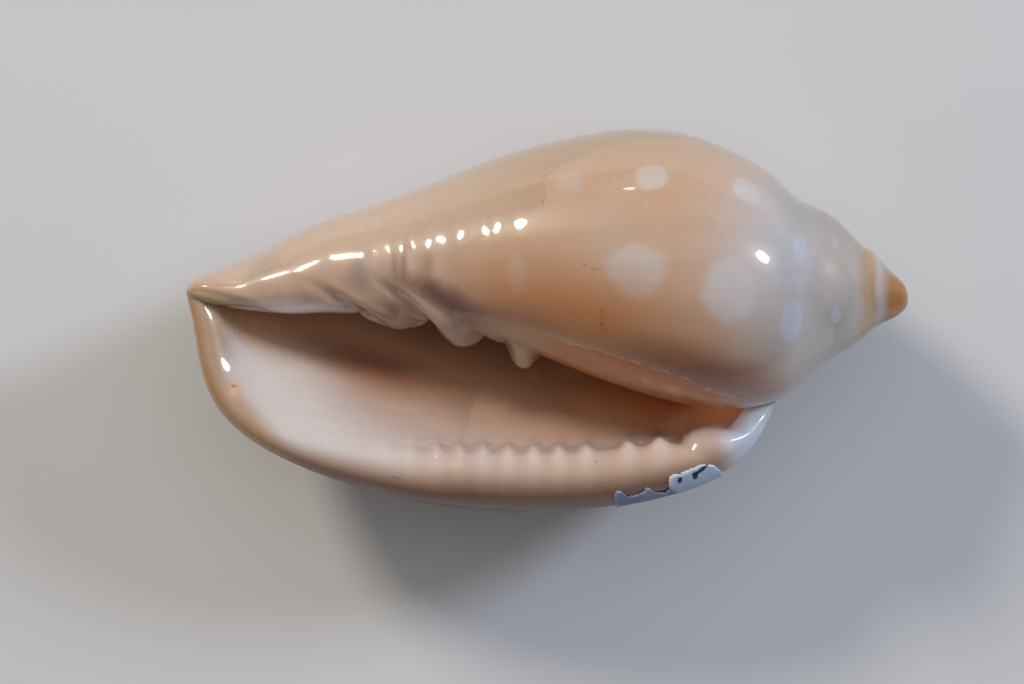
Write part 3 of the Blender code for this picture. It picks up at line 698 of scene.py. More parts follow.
def label_net(shell):
    """The paper label, a thin torn sheet that follows the lip. Its traits: nearness to the edge, torn."""
    places, low, high = zip(*LABEL_EDGES)
    ragged = np.random.default_rng(LABEL_SEED).normal(0.0, 1.0, (2, LABEL_ROWS + 2))
    ragged = (ragged[:, 2:] + 2 * ragged[:, 1:-1] + ragged[:, :-2]) / 4
    share = np.linspace(0, 1, LABEL_STEPS)
    under, over = np.zeros((2, LABEL_ROWS, LABEL_STEPS, 3))
    traits = np.zeros((LABEL_ROWS, LABEL_STEPS, 4))
    for i, station in enumerate(np.linspace(places[0], places[-1], LABEL_ROWS)):
        top = np.interp(station, places, high) + TOP_RAGGED * ragged[0, i]
        bottom = np.interp(station, places, low) + BOTTOM_RAGGED * ragged[1, i]
        across = bottom + (top - bottom) * share
        stations = station - LABEL_SLANT * (1 - share) * rise(station, *SLANT_START)
        points = lip_skin(shell, stations, across)
        lengthwise = lip_skin(shell, stations + STEP, across) - points
        crosswise = lip_skin(shell, stations, across + STEP) - points
        normals = np.cross(lengthwise, crosswise)
        normals /= np.linalg.norm(normals, axis=-1, keepdims=True)
        end = min(i, LABEL_ROWS - 1 - i) / EDGE_ROWS
        sides = np.minimum(np.arange(LABEL_STEPS), np.arange(LABEL_STEPS)[::-1]) / EDGE_STEPS
        edge = 1 - ease(np.minimum(end, sides))
        torn = fall(station + TORN_SLANT * (share - TORN_MIDDLE), TORN_STATION, TORN_EDGE)
        cockle = sum(tall * np.sin(station * along_it + across * across_it)
                     for tall, along_it, across_it in COCKLES)
        curl = CURL * edge**2 * (1 + np.sin(station * CURL_WAVES))
        under[i] = points + normals * (PAPER_GAP + curl + cockle.clip(-DEEPEST_COCKLE))[:, None]
        over[i] = under[i] + normals * (PAPER * (1 - TORN_DEPTH * torn))[:, None]
        traits[i, :, 0], traits[i, :, 1] = edge, torn
    net = Net()
    lower, upper = net.add(under, traits), net.add(over, traits)
    growth = np.stack(np.indices((LABEL_ROWS, LABEL_STEPS)), axis=-1).astype(float)
    net.patch(upper, growth, flip=True)
    net.patch(lower, growth)
    edge = np.array([border(lower), border(upper)])
    net.patch(edge, np.zeros((*edge.shape, 2)), flip=True)
    return net


# ---- Ways to build a finish --------------------------------------------------------------------------

ORIGIN = (0.0, 0.0, 0.0)


class Nodes:
    """Short ways to build a finish. A value is a number, a colour, a vector or another part's output."""

    def __init__(self, tree):
        self.tree = tree

    def put(self, socket, value):
        """Joins an output to an input, or sets the input's own value."""
        if isinstance(value, bpy.types.NodeSocket):
            self.tree.links.new(value, socket)
        elif socket.type == "RGBA":
            socket.default_value = (*value, 1.0)
        else:
            socket.default_value = value

    def add(self, kind, inputs=(), **settings):
        """Adds a part with its settings, and fills its inputs by name or number."""
        node = self.tree.nodes.new(kind)
        for name, value in settings.items():
            setattr(node, name, value)
        for socket, value in dict(inputs).items():
            self.put(node.inputs[socket], value)
        return node

    def blend(self, share, under, over, way="MIX"):
        """Lays one colour over another."""
        node = self.add("ShaderNodeMix", data_type="RGBA", blend_type=way)
        for socket, value in zip((0, 6, 7), (share, under, over)):  # its inputs for colours
            self.put(node.inputs[socket], value)
        return node.outputs[2]

    def maths(self, operation, *values):
        """A sum with one number for each point."""
        node = self.add("ShaderNodeMath", dict(enumerate(values)), operation=operation)
        return node.outputs[0]

    def part(self, mask, share):
        """A share of a mask."""
        return self.maths("MULTIPLY", mask, share)

    def centred(self, vector, scale, detail, roughness):
        """Noise that wanders to both sides of 0."""
        return self.maths("SUBTRACT", self.noise(vector, scale, detail, roughness), 0.5)

    def vector(self, operation, *values):
        """A sum with three numbers for each point."""
        node = self.add("ShaderNodeVectorMath", dict(enumerate(values)), operation=operation)
        return node.outputs["Value" if operation in ("LENGTH", "DOT_PRODUCT") else "Vector"]

    def span(self, value, low, high, to_low=0.0, to_high=1.0):
        """A smooth step from one value to another."""
        inputs = {"Value": value, "From Min": low, "From Max": high, "To Min": to_low, "To Max": to_high}
        return self.add("ShaderNodeMapRange", inputs, interpolation_type="SMOOTHSTEP").outputs[0]

    def noise(self, vector, scale, detail=2.0, roughness=0.5, distortion=0.0):
        """Cloudy noise from 0 to 1."""
        inputs = {"Vector": vector, "Scale": scale, "Detail": detail, "Roughness": roughness,
                  "Distortion": distortion}
        return self.add("ShaderNodeTexNoise", inputs).outputs[0]

    def mark(self, label):
        """A mark that the mesh carries at each point."""
        return self.add("ShaderNodeAttribute", attribute_name=label).outputs["Fac"]

    def group(self, tree, **inputs):
        """Places a shared effect, with its inputs given by name."""
        node = self.add("ShaderNodeGroup", node_tree=tree)
        for name, value in inputs.items():
            self.put(node.inputs[name], value)
        return node.outputs[0]

    def relief(self, shader, height, distance, strength):
        """Raises the surface by a height, for the light alone."""
        inputs = {"Height": height, "Distance": distance, "Strength": strength}
        self.put(shader.inputs["Normal"], self.add("ShaderNodeBump", inputs).outputs[0])


def new_group(name, inputs, output):
    """An empty shared effect with one output: its parts, its inputs and the place where it ends."""
    tree = bpy.data.node_groups.new(name, "ShaderNodeTree")
    for label, value in inputs.items():
        kind = "NodeSocketVector" if isinstance(value, tuple) else "NodeSocketFloat"
        tree.interface.new_socket(label, in_out="INPUT", socket_type=kind).default_value = value
    tree.interface.new_socket(output, in_out="OUTPUT", socket_type="NodeSocketFloat")
    nodes = Nodes(tree)
    entry = nodes.add("NodeGroupInput").outputs
    leave = nodes.add("NodeGroupOutput").inputs[0]
    return nodes, entry, leave


def fleck_group():
    """A soft-edged spot of any size and slant on the surface."""
    inputs = {"Place": ORIGIN, "Centre": ORIGIN, "Size": (1.0, 1.0, 1.0), "Slant": 0.0,
              "Softness": 0.2, "Ragged": 0.1, "Grain": 1.0}
    nodes, entry, leave = new_group("fleck", inputs, "Mask")
    away = nodes.vector("SUBTRACT", entry["Place"], entry["Centre"])
    parts = nodes.add("ShaderNodeSeparateXYZ", {0: away}).outputs
    level = nodes.maths("SUBTRACT", parts[1], nodes.part(parts[0], entry["Slant"]))
    straight = nodes.add("ShaderNodeCombineXYZ", {0: parts[0], 1: level, 2: parts[2]}).outputs[0]
    distance = nodes.vector("LENGTH", nodes.vector("DIVIDE", straight, entry["Size"]))
    rough = nodes.centred(entry["Place"], entry["Grain"], detail=3.0, roughness=0.5)
    distance = nodes.maths("MULTIPLY_ADD", rough, entry["Ragged"], distance)
    outer = nodes.maths("ADD", 1.0, entry["Softness"])
    inner = nodes.maths("SUBTRACT", 1.0, entry["Softness"])
    nodes.tree.links.new(nodes.span(distance, outer, inner), leave)
    return nodes.tree


def mottle_group():
    """Cloudy unevenness, from 0 to 1."""
    inputs = {"Place": ORIGIN, "Scale": 1.0, "Contrast": 0.3}
    nodes, entry, leave = new_group("mottle", inputs, "Mask")
    cloud = nodes.noise(entry["Place"], entry["Scale"], detail=4.0, roughness=0.55, distortion=0.4)
    low = nodes.maths("SUBTRACT", 0.5, entry["Contrast"])
    high = nodes.maths("ADD", 0.5, entry["Contrast"])
    nodes.tree.links.new(nodes.span(cloud, low, high), leave)
    return nodes.tree


def new_material(name):
    """A new finish: its material, its parts, its shader, and places on it in millimetres."""
    material = bpy.data.materials.new(name)
    material.use_nodes = True
    nodes = Nodes(material.node_tree)
    shader = material.node_tree.nodes["Principled BSDF"]
    metres = nodes.add("ShaderNodeTexCoord").outputs["Object"]
    place = nodes.vector("DIVIDE", metres, (MM, MM, MM))
    return material, nodes, shader, place


# ---- Setting the shapes down where the solid lies ----------------------------------------------------


class Bed:
    """Tilts shapes on to the shell's back and sets them down, as the solid lies."""

    def __init__(self, points):
        low, high = (np.array(corner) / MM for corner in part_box("shell"))
        turned = points @ np.array(TURN).T
        lowest, highest = turned.min(axis=0), turned.max(axis=0)
        self.shift = (low + high) / 2 - (lowest + highest) / 2
        self.shift[2] = low[2] - REST_FLAT - lowest[2]
        self.floor = low[2]

    def lay(self, points):
        """Points in the shell's axes to points in the frame, all in millimetres."""
        laid = np.asarray(points, float) @ np.array(TURN).T + self.shift
        laid[..., 2] = laid[..., 2].clip(self.floor)
        return laid


def make_piece(name, net, laid, material, marks):
    """A smooth mesh object from a net laid down, with its marks as attributes."""
    used = sorted({number for face in net.faces for number in face})
    renumber = dict(zip(used, range(len(used))))
    mesh = bpy.data.meshes.new(name)
    mesh.from_pydata((laid[used] * MM).tolist(), [], [[renumber[n] for n in face] for face in net.faces])
    growth = mesh.uv_layers.new(name="growth")
    growth.uv.foreach_set("vector", np.array(net.growth, np.float32).ravel())
    for label, values in marks.items():
        layer = mesh.attributes.new(label, "FLOAT", "POINT")
        layer.data.foreach_set("value", np.asarray(values, np.float32)[used])
    mesh.shade_smooth()
    mesh.materials.append(material)
    piece = bpy.data.objects.new(name + "_surface", mesh)
    bpy.context.scene.collection.objects.link(piece)
    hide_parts(name)
    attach(piece, "root")
    return piece


# ---- The shell's finish ------------------------------------------------------------------------------

# The ground colour, and what lies on or shows through it.
PEACH, SAND, ROSY = (0.62, 0.40, 0.26), (0.60, 0.44, 0.31), (0.64, 0.43, 0.33)
STRAW, PALE_STRAW, EDGE_LINE = (0.47, 0.33, 0.20), (0.68, 0.53, 0.40), (0.40, 0.27, 0.18)
PILLAR_GREY = (0.63, 0.46, 0.35)
# The pale spots' milk white, and the same tinted blue by painted cool light.
MILK, MILK_IN_COOL_LIGHT = (0.67, 0.61, 0.58), (0.58, 0.63, 0.73)
AMBER, PAINTED_SHADE_UMBER, ROSE = (0.58, 0.21, 0.05), (0.35, 0.11, 0.06), (0.48, 0.23, 0.15)
SMOKE, SLATE = (0.19, 0.085, 0.07), (0.27, 0.26, 0.25)
# The spire, and painted shade on its upper side.
SPIRE_CREAM, SPIRE_PAINTED_SHADE = (0.53, 0.49, 0.46), (0.34, 0.31, 0.27)
SPIRE_BAND, NUCLEUS = (0.50, 0.28, 0.10), (0.43, 0.19, 0.04)
# The callus, and painted glow of light through the thin edge of the wall beside the aperture.
CALLUS, CALLUS_LINE, THIN_EDGE_GLOW = (0.68, 0.195, 0.03), (0.74, 0.50, 0.36), (0.86, 0.48, 0.26)
# The lip, with painted shade on its underside, and the inside.
VARIX, UNDER_LIP_SHADE = (0.51, 0.32, 0.21), (0.12, 0.025, 0.02)
ENAMEL, TOOTH, WHITE_IN_COOL_LIGHT, PEARL = (0.70, 0.65, 0.63), (0.97, 0.90, 0.85), (0.58, 0.67, 0.82), (0.96, 0.92, 0.92)
WITHIN, FIRE, CREAM, GLOW = (0.68, 0.39, 0.24), (0.82, 0.31, 0.075), (0.47, 0.30, 0.155), (0.82, 0.42, 0.19)
PINK_SAND, DUSK, PAINTED_SHADOW_BROWN = (0.60, 0.47, 0.41), (0.45, 0.30, 0.24), (0.27, 0.115, 0.07)
# Painted glow (emission) for light through the thin wall, specks, and the faint shade of the growth lines.
NO_GLOW, WARM_GLOW = (0.0, 0.0, 0.0), (0.085, 0.04, 0.018)
RUST, HALO, DIRT = (0.22, 0.045, 0.01), (0.58, 0.20, 0.04), (0.12, 0.07, 0.05)
LINE_SHADE, LINE_CLEAR = (0.965, 0.955, 0.945), (1.0, 1.0, 1.0)

# How strongly each finish covers the one under it.
COVER = {"rosy": 0.25, "glaze": 0.55, "glaze edge": 0.35, "pillar": 0.7, "spire": 0.8, "spots": 0.75,
         "band": 0.75, "callus": 0.85, "callus line": 0.6, "thin edge glow": 0.75, "under lip shade": 0.85,
         "teeth": 0.45}
# Where one colour turns into the next: along the axis in the frame, past an edge, or up a noise.
PALE_STRAW_X, MILK_X, FIRE_X, LINES_X = (-12.0, 3.0), (12.5, 16.5), (-2.0, 9.0), (19.0, 15.0)
GLAZE_START, GLAZE_LINE_IN, GLAZE_LINE_OUT = (-0.1, 0.25), (-0.14, -0.03), (0.12, 0.0)
CALLUS_START, CALLUS_LINE_IN, CALLUS_LINE_OUT = (0.0, 0.6), (-0.5, 0.4), (1.9, 0.6)
SPOT_EDGE, SPOT_RAGGED, CALLUS_RAGGED, BAND_WANDER = (1.24, 0.76), 0.7, 6.0, 0.5
BROAD_LINES, FINE_LINES, LINE_GAPS = (0.35, 0.7), (0.3, 0.7), (0.38, 0.62)
ROUGHNESS, COAT = (0.26, 0.36), (0.9, 0.15)  # over the clouds, and from the open shell to under its lip
# Heights that only the light sees: the callus, the growth lines and the glaze, against each other.
CALLUS_HEIGHT, LINE_HEIGHT, GLAZE_HEIGHT = 1.2, 0.1, 0.6

# Pale spots: x, angle round the axis, half length along x, half width round the axis, strength.
SPOTS = [
    (6.25, -223.6, 0.95, 1.05, 0.85), (12.1, -223.0, 0.85, 1.05, 0.9), (5.3, -262.0, 1.75, 1.7, 0.75),
    (11.0, -271.0, 1.75, 1.95, 0.95), (15.4, -245.0, 0.5, 1.0, 0.8), (14.8, -287.0, 0.75, 1.3, 0.9),
    (17.7, -291.0, 0.35, 0.55, 0.7), (17.4, -309.0, 0.25, 0.9, 0.4), (1.25, -221.0, 0.9, 0.8, 0.35),
    (-1.9, -263.0, 0.6, 1.2, 0.6),
    (6.8, -184.0, 1.2, 1.3, 0.7), (12.6, -178.0, 1.0, 1.3, 0.8), (6.0, -146.0, 1.5, 1.6, 0.85),
    (12.2, -136.0, 1.3, 1.5, 0.9), (6.6, -106.0, 1.3, 1.2, 0.8), (11.5, -95.0, 1.6, 1.7, 0.95),
    (5.8, -66.0, 1.2, 1.4, 0.7), (11.2, -52.0, 1.3, 1.2, 0.85), (1.0, -165.0, 1.0, 0.9, 0.35),
    (0.4, -125.0, 0.9, 1.1, 0.5), (-0.6, -85.0, 1.1, 1.0, 0.5), (-3.4, -104.0, 0.7, 0.9, 0.35),
    (15.2, -195.0, 0.6, 1.0, 0.7), (15.0, -150.0, 0.7, 1.1, 0.7), (14.6, -108.0, 0.7, 1.0, 0.8),
    (14.2, -66.0, 0.6, 0.9, 0.7), (17.6, -230.0, 0.35, 0.6, 0.5), (17.2, -160.0, 0.35, 0.7, 0.5),
]

# Tints under the gloss: centre and half sizes in the shell's axes, slant, softness, raggedness, grain,
# colour and strength. Some are painted shade, painted glow and painted cool light, as marked.
TINTS = [
    # Painted reflection of the cool right lamp: a bluish patch on the whorl beside the spire.
    ((13.2, 2.0, 7.2), (3.2, 4.5, 5.0), 0.0, 0.9, 0.3, 0.2, MILK_IN_COOL_LIGHT, 0.45),
    # Painted shade: darkens the whorl along its upper edge.
    ((4.6, 10.9, 0.5), (9.5, 2.6, 6.0), 0.0, 0.9, 0.2, 0.2, STRAW, 0.8),
    # Painted shade on the upper side of the spire.
    ((17.3, 5.1, 3.0), (2.9, 2.1, 3.4), -0.5, 0.9, 0.2, 0.2, SPIRE_PAINTED_SHADE, 0.75),
    # Darker orange above the callus: painted shade, and painted glow of light through the thin wall.
    ((2.4, -1.9, 7.3), (6.4, 2.3, 4.0), -0.16, 0.9, 0.5, 0.2, AMBER, 0.72),
    ((-1.8, 0.2, 6.6), (4.5, 2.6, 4.0), -0.1, 0.9, 0.5, 0.2, AMBER, 0.3),
    # Painted shade: darker red-brown on the wall above the callus, which turns away from the light.
    ((8.6, -4.8, 5.8), (3.9, 1.4, 3.5), -0.3, 0.85, 0.4, 0.3, PAINTED_SHADE_UMBER, 0.75),
    ((11.2, -6.1, 4.2), (3.0, 1.4, 3.0), -0.1, 0.85, 0.3, 0.3, PAINTED_SHADE_UMBER, 0.85),
    ((7.96, -4.28, 6.6), (0.6, 0.35, 0.9), -0.2, 0.8, 0.9, 1.0, HALO, 0.35),
    ((-6.1, -0.7, 4.6), (2.0, 0.8, 1.6), -0.55, 0.85, 0.9, 0.8, SMOKE, 0.85),
    ((-8.9, 0.2, 4.2), (1.7, 0.95, 1.3), -0.25, 0.8, 0.8, 0.8, SMOKE, 0.5),
    ((-4.96, -1.95, 3.62), (0.5, 0.36, 0.8), 0.0, 0.7, 0.4, 1.0, SMOKE, 0.5),
    ((-8.9, 1.7, 4.4), (0.2, 0.9, 1.2), 0.16, 0.9, 0.9, 1.2, SMOKE, 0.42),
    ((-9.5, 1.5, 4.2), (0.18, 0.7, 1.2), -0.12, 0.9, 0.9, 1.2, SMOKE, 0.28),
    ((-7.4, 1.7, 4.9), (0.34, 0.8, 1.1), 0.2, 0.9, 0.9, 1.2, SMOKE, 0.3),
    ((-11.7, 1.5, 3.6), (0.6, 1.1, 1.0), -0.2, 0.85, 0.6, 0.7, SLATE, 0.42),
    ((-11.7, 0.6, 3.6), (0.9, 0.7, 0.9), -0.1, 0.85, 0.6, 0.7, SMOKE, 0.3),
    ((-17.7, 1.6, 1.6), (1.0, 0.6, 1.0), 0.3, 0.85, 0.6, 0.7, SLATE, 0.35),
    ((-13.7, 0.2, 2.9), (1.6, 1.1, 1.4), -0.2, 0.9, 0.5, 0.6, ROSE, 0.42),
    ((-9.9, -1.4, 2.6), (1.6, 0.8, 1.4), -0.35, 0.8, 0.3, 0.6, ROSE, 0.85),
    ((-5.6, -2.5, 2.6), (1.1, 0.9, 1.3), 0.0, 0.8, 0.3, 0.6, ROSE, 0.35),
    ((-2.2, -1.6, 5.1), (2.9, 0.7, 1.4), -0.15, 0.85, 0.4, 0.4, ROSE, 0.45),
    # Painted light: pale lines along the ridges of the second and third folds.
    ((-11.0, -0.85, 3.2), (2.3, 0.26, 1.0), -0.55, 0.7, 0.2, 0.8, CALLUS_LINE, 0.5),
    ((-7.7, -0.8, 4.1), (1.3, 0.22, 0.9), -0.75, 0.7, 0.2, 0.8, CALLUS_LINE, 0.45),
    ((-15.8, -1.15, 1.7), (2.6, 0.5, 1.2), 0.02, 0.8, 0.3, 0.7, PEARL, 0.9),
    ((-21.3, 0.7, 0.7), (1.3, 0.8, 1.2), 0.1, 0.8, 0.4, 0.6, HALO, 0.12),
]
BAND_X = (19.3, 20.1, 20.4, 20.9)  # along the axis in the frame, where the orange band fades in and out
NUCLEUS_X = (20.8, 21.7)
GLOW_PLACE, GLOW_SIZE = (10.9, -7.5, -2.6), (2.6, 1.3, 2.6)  # where painted glow stands for the light that comes through the thin wall
# The same inside the lip, laid over its enamel.
LIP_TINTS = [
    # Posterior end of the lip: white shell, tinted blue by painted cool light.
    ((13.2, -9.3, 0.8), (2.2, 2.0, 2.6), 0.0, 0.5, 0.2, 0.4, WHITE_IN_COOL_LIGHT, 0.75),
    ((-21.3, -4.3, 0.5), (1.35, 4.5, 2.0), 0.0, 0.6, 0.4, 0.4, CREAM, 0.78),
    ((-19.0, -7.9, 0.5), (2.4, 1.2, 2.0), -0.9, 0.8, 0.4, 0.4, CREAM, 0.85),
    # Painted glow: orange where light shows through the thin wall at the corner.
    ((10.9, -7.5, -2.6), (2.4, 1.1, 2.6), 0.45, 0.8, 0.3, 0.4, GLOW, 0.9),
    ((11.8, -8.6, -1.0), (1.5, 1.1, 2.6), 0.6, 0.9, 0.2, 0.2, PEARL, 0.45),
    ((-10.0, -6.9, -1.0), (5.0, 2.2, 4.4), -0.36, 0.9, 0.3, 0.3, DUSK, 0.72),
    # Painted shadow: carries the dark of the pillar's shadow further down the inside.
    ((-10.6, -4.9, -1.5), (4.2, 1.1, 4.5), -0.38, 0.9, 0.2, 0.3, PAINTED_SHADOW_BROWN, 0.85),
    ((-3.4, -8.2, -0.5), (6.0, 1.5, 3.6), -0.05, 0.9, 0.3, 0.3, PINK_SAND, 0.45),
]
# Specks of dirt and rust, each with a faint halo.
SPECKS = [
    ((3.2, -1.33, 7.2), (0.07, 0.09, 0.4), 0.0, 0.4, 0.6, 4.0, RUST, 0.7),
    ((3.26, -1.62, 7.2), (0.06, 0.08, 0.4), 0.0, 0.4, 0.6, 4.0, RUST, 0.75),
    ((3.12, -1.85, 7.1), (0.06, 0.07, 0.4), 0.0, 0.4, 0.6, 4.0, RUST, 0.6),
    ((3.2, -2.15, 7.0), (0.1, 0.14, 0.5), 0.0, 0.4, 0.8, 4.0, RUST, 0.85),
    ((3.26, -1.9, 7.0), (0.24, 0.75, 0.9), 0.0, 0.8, 0.9, 2.0, HALO, 0.5),
    ((3.36, -2.5, 6.9), (0.22, 0.5, 0.8), 0.0, 0.9, 0.6, 1.5, HALO, 0.6),
    ((2.1, 1.5, 7.8), (0.16, 0.06, 0.4), -0.6, 0.6, 1.8, 6.0, DIRT, 0.4),
    ((2.8, 1.25, 7.8), (0.26, 0.05, 0.4), -0.1, 0.6, 1.8, 6.0, DIRT, 0.35),
    ((-0.35, 5.4, 6.2), (0.06, 0.35, 0.5), 0.0, 0.6, 1.4, 3.0, HALO, 0.5),
    ((-9.45, -11.6, 1.95), (0.35, 0.06, 0.4), -0.25, 0.6, 1.4, 4.0, DIRT, 0.45),
    ((2.95, -10.6, 2.35), (0.06, 0.06, 0.3), 0.0, 0.4, 0.2, 2.0, DIRT, 0.6),
    ((-22.07, 0.0, 0.68), (0.06, 0.06, 0.3), 0.0, 0.4, 0.2, 2.0, DIRT, 0.6),
    ((-18.4, 0.98, 1.46), (0.05, 0.05, 0.3), 0.0, 0.4, 0.2, 2.0, DIRT, 0.5),
    ((-13.4, -0.5, 2.6), (0.05, 0.05, 0.3), 0.0, 0.4, 0.2, 2.0, DIRT, 0.6),
    ((-19.6, -6.2, 0.6), (0.5, 0.5, 0.9), 0.0, 0.5, 0.2, 1.0, GLOW, 0.5),
    ((-19.6, -5.95, 0.6), (0.17, 0.1, 0.5), 0.0, 0.5, 0.2, 1.0, RUST, 0.5),
    ((-19.62, -6.3, 0.6), (0.24, 0.24, 0.5), 0.0, 0.4, 0.1, 1.0, PALE_STRAW, 0.7),
]


def spots_over(points, skin):
    """How far each point lies from the nearest pale spot, 1 at its edge, and how strong that spot is."""
    nearest, strength = np.full(len(points), FAR_SPOT), np.zeros(len(points))
    for x, angle, half_length, half_width, strong in SPOTS:
        out = Vector((0, -np.cos(np.radians(angle)), np.sin(np.radians(angle))))
        centre = skin.ray_cast(Vector((x, 0, 0)) + out * WELL_OUTSIDE, -out)[0]
        away = np.linalg.norm((points - centre) / (half_length, half_width, half_width), axis=1)
        strength[away < nearest] = strong
        nearest = np.minimum(nearest, away)
    return {"spot_distance": nearest, "spot_strength": strength}


def lay_tints(nodes, place, fleck, lay, colour, tints, held=1.0):
    """Lays flecks of colour over a colour, in order."""
    for centre, size, slant, softness, ragged, grain, tint, strength in tints:
        mask = nodes.group(fleck, Place=place, Centre=tuple(lay(centre)), Size=size, Slant=slant,
                           Softness=softness, Ragged=ragged, Grain=grain)
        colour = nodes.blend(nodes.part(nodes.part(mask, strength), held), colour, tint)
    return colour


def shell_material(fleck, mottle, lay):
    """Glossy, slightly translucent shell: growth lines, pale spots, glaze, enamel, callus and stains, with
    painted shade, painted glow and painted cool light.
    """
    material, nodes, shader, place = new_material("shell")
    growth = nodes.add("ShaderNodeUVMap", uv_map="growth").outputs[0]
    mark, span, blend, part, noise = nodes.mark, nodes.span, nodes.blend, nodes.part, nodes.noise

    def cover(name, mask, colour, tint):
        """Lays a finish over a colour, as strongly as its name says."""
        return blend(part(mask, COVER[name]), colour, tint)

    def lines(across, lengthwise, detail):
        """Growth lines, which run from canal to apex."""
        mapped = nodes.vector("MULTIPLY", growth, (across, lengthwise, 0.0))
        return noise(mapped, 1.0, detail, roughness=0.6)

    broad = lines(across=0.03, lengthwise=0.3, detail=3.0)
    fine = lines(across=0.16, lengthwise=0.35, detail=1.0)
    clouds = nodes.group(mottle, Place=place, Scale=0.16, Contrast=0.25)
    inner = mark("within")
    outer = nodes.maths("SUBTRACT", 1.0, inner)

    # The ground of the whorls, under the straw-coloured glaze.
    colour = blend(clouds, PEACH, SAND)
    colour = blend(span(broad, *BROAD_LINES, 0.0, COVER["rosy"]), colour, ROSY)
    along_axis = nodes.add("ShaderNodeSeparateXYZ", {0: place}).outputs[0]
    at_glaze = mark("glaze_past")
    glaze = span(at_glaze, *GLAZE_START)
    straw = blend(span(along_axis, *PALE_STRAW_X), PALE_STRAW, STRAW)
    colour = cover("glaze", glaze, colour, straw)
    edge_line = part(span(at_glaze, *GLAZE_LINE_IN), span(at_glaze, *GLAZE_LINE_OUT))
    colour = cover("glaze edge", edge_line, colour, EDGE_LINE)
    colour = cover("pillar", mark("pillar"), colour, PILLAR_GREY)
    colour = cover("spire", mark("spire"), colour, SPIRE_CREAM)

    # Pale spots and tints, some of them painted shade, painted glow and painted cool light.
    ragged = nodes.centred(place, scale=0.7, detail=3.0, roughness=0.6)
    away = nodes.maths("MULTIPLY_ADD", ragged, SPOT_RAGGED, mark("spot_distance"))
    spots = part(span(away, *SPOT_EDGE), mark("spot_strength"))
    # Spots turn bluish towards the apex: painted cool light.
    milk = blend(span(along_axis, *MILK_X), MILK, MILK_IN_COOL_LIGHT)
    colour = cover("spots", spots, colour, milk)
    colour = lay_tints(nodes, place, fleck, lay, colour, TINTS, outer)

    # The orange band and the nucleus at the end of the spire.
    wander = nodes.maths("MULTIPLY_ADD", noise(place, scale=0.5), BAND_WANDER, along_axis)
    band = part(span(wander, BAND_X[0], BAND_X[1]), span(wander, BAND_X[3], BAND_X[2]))
    colour = cover("band", band, colour, SPIRE_BAND)
    colour = blend(span(wander, *NUCLEUS_X), colour, NUCLEUS)

    # The callus with its pale broken line, and painted glow along the thin edge of the wall, for light
    # through it.
    torn = nodes.centred(place, scale=0.9, detail=3.0, roughness=0.65)
    past = nodes.maths("MULTIPLY_ADD", torn, CALLUS_RAGGED, mark("callus_past"))
    callus_mask = part(span(past, *CALLUS_START), mark("callus"))
    colour = cover("callus", callus_mask, colour, CALLUS)
    line = part(span(past, *CALLUS_LINE_IN), span(past, *CALLUS_LINE_OUT))
    gaps = span(noise(place, scale=1.3, detail=2.0), *LINE_GAPS)
    line = part(part(line, mark("callus")), gaps)
    colour = cover("callus line", line, colour, CALLUS_LINE)
    # Painted glow: lighter orange along the thin edge of the wall, for light showing through it.
    colour = cover("thin edge glow", mark("thin_edge_glow"), colour, THIN_EDGE_GLOW)

    # The lip, its enamel and teeth, painted shade under the lip, and the inside with painted shadow and
    # painted glow.
    colour = blend(mark("varix"), colour, VARIX)
    # Painted shade: a dark red-brown on the underside of the lip, where it turns from the light.
    colour = cover("under lip shade", mark("under_lip_shade"), colour, UNDER_LIP_SHADE)
    colour = blend(inner, colour, blend(span(along_axis, *FIRE_X), WITHIN, FIRE))
    colour = blend(mark("enamel"), colour, ENAMEL)
    colour = cover("teeth", mark("teeth"), colour, TOOTH)
    colour = lay_tints(nodes, place, fleck, lay, colour, LIP_TINTS)
    # Painted glow: a faint warm emission where light shows through the thin wall.
    through = nodes.group(fleck, Place=place, Centre=tuple(lay(GLOW_PLACE)), Size=GLOW_SIZE, Slant=0.45,
                          Softness=0.9, Ragged=0.2, Grain=0.4)
    nodes.put(shader.inputs["Emission Color"], blend(through, NO_GLOW, WARM_GLOW))
    shader.inputs["Emission Strength"].default_value = 1.0
    colour = lay_tints(nodes, place, fleck, lay, colour, SPECKS)

    shade = blend(span(fine, *FINE_LINES), LINE_SHADE, LINE_CLEAR)
    shaded = blend(1.0, colour, shade, "MULTIPLY")
    nodes.put(shader.inputs["Base Color"], blend(span(along_axis, *LINES_X), colour, shaded))

    nodes.put(shader.inputs["Roughness"], span(clouds, 0.0, 1.0, *ROUGHNESS))
    shader.inputs["IOR"].default_value = 1.53
    nodes.put(shader.inputs["Coat Weight"], span(mark("under_lip_shade"), 0.0, 1.0, *COAT))
    shader.inputs["Coat Roughness"].default_value = 0.05
    shader.inputs["Coat IOR"].default_value = 1.5
    shader.inputs["Subsurface Weight"].default_value = 0.4
    shader.inputs["Subsurface Radius"].default_value = (1.0, 0.5, 0.3)
    shader.inputs["Subsurface Scale"].default_value = 0.0015

    height = nodes.maths("MULTIPLY_ADD", callus_mask, CALLUS_HEIGHT, part(fine, LINE_HEIGHT))
    height = nodes.maths("MULTIPLY_ADD", glaze, GLAZE_HEIGHT, height)
    nodes.relief(shader, height, distance=0.00001, strength=0.6)
    return material


# ---- The label's finish ------------------------------------------------------------------------------

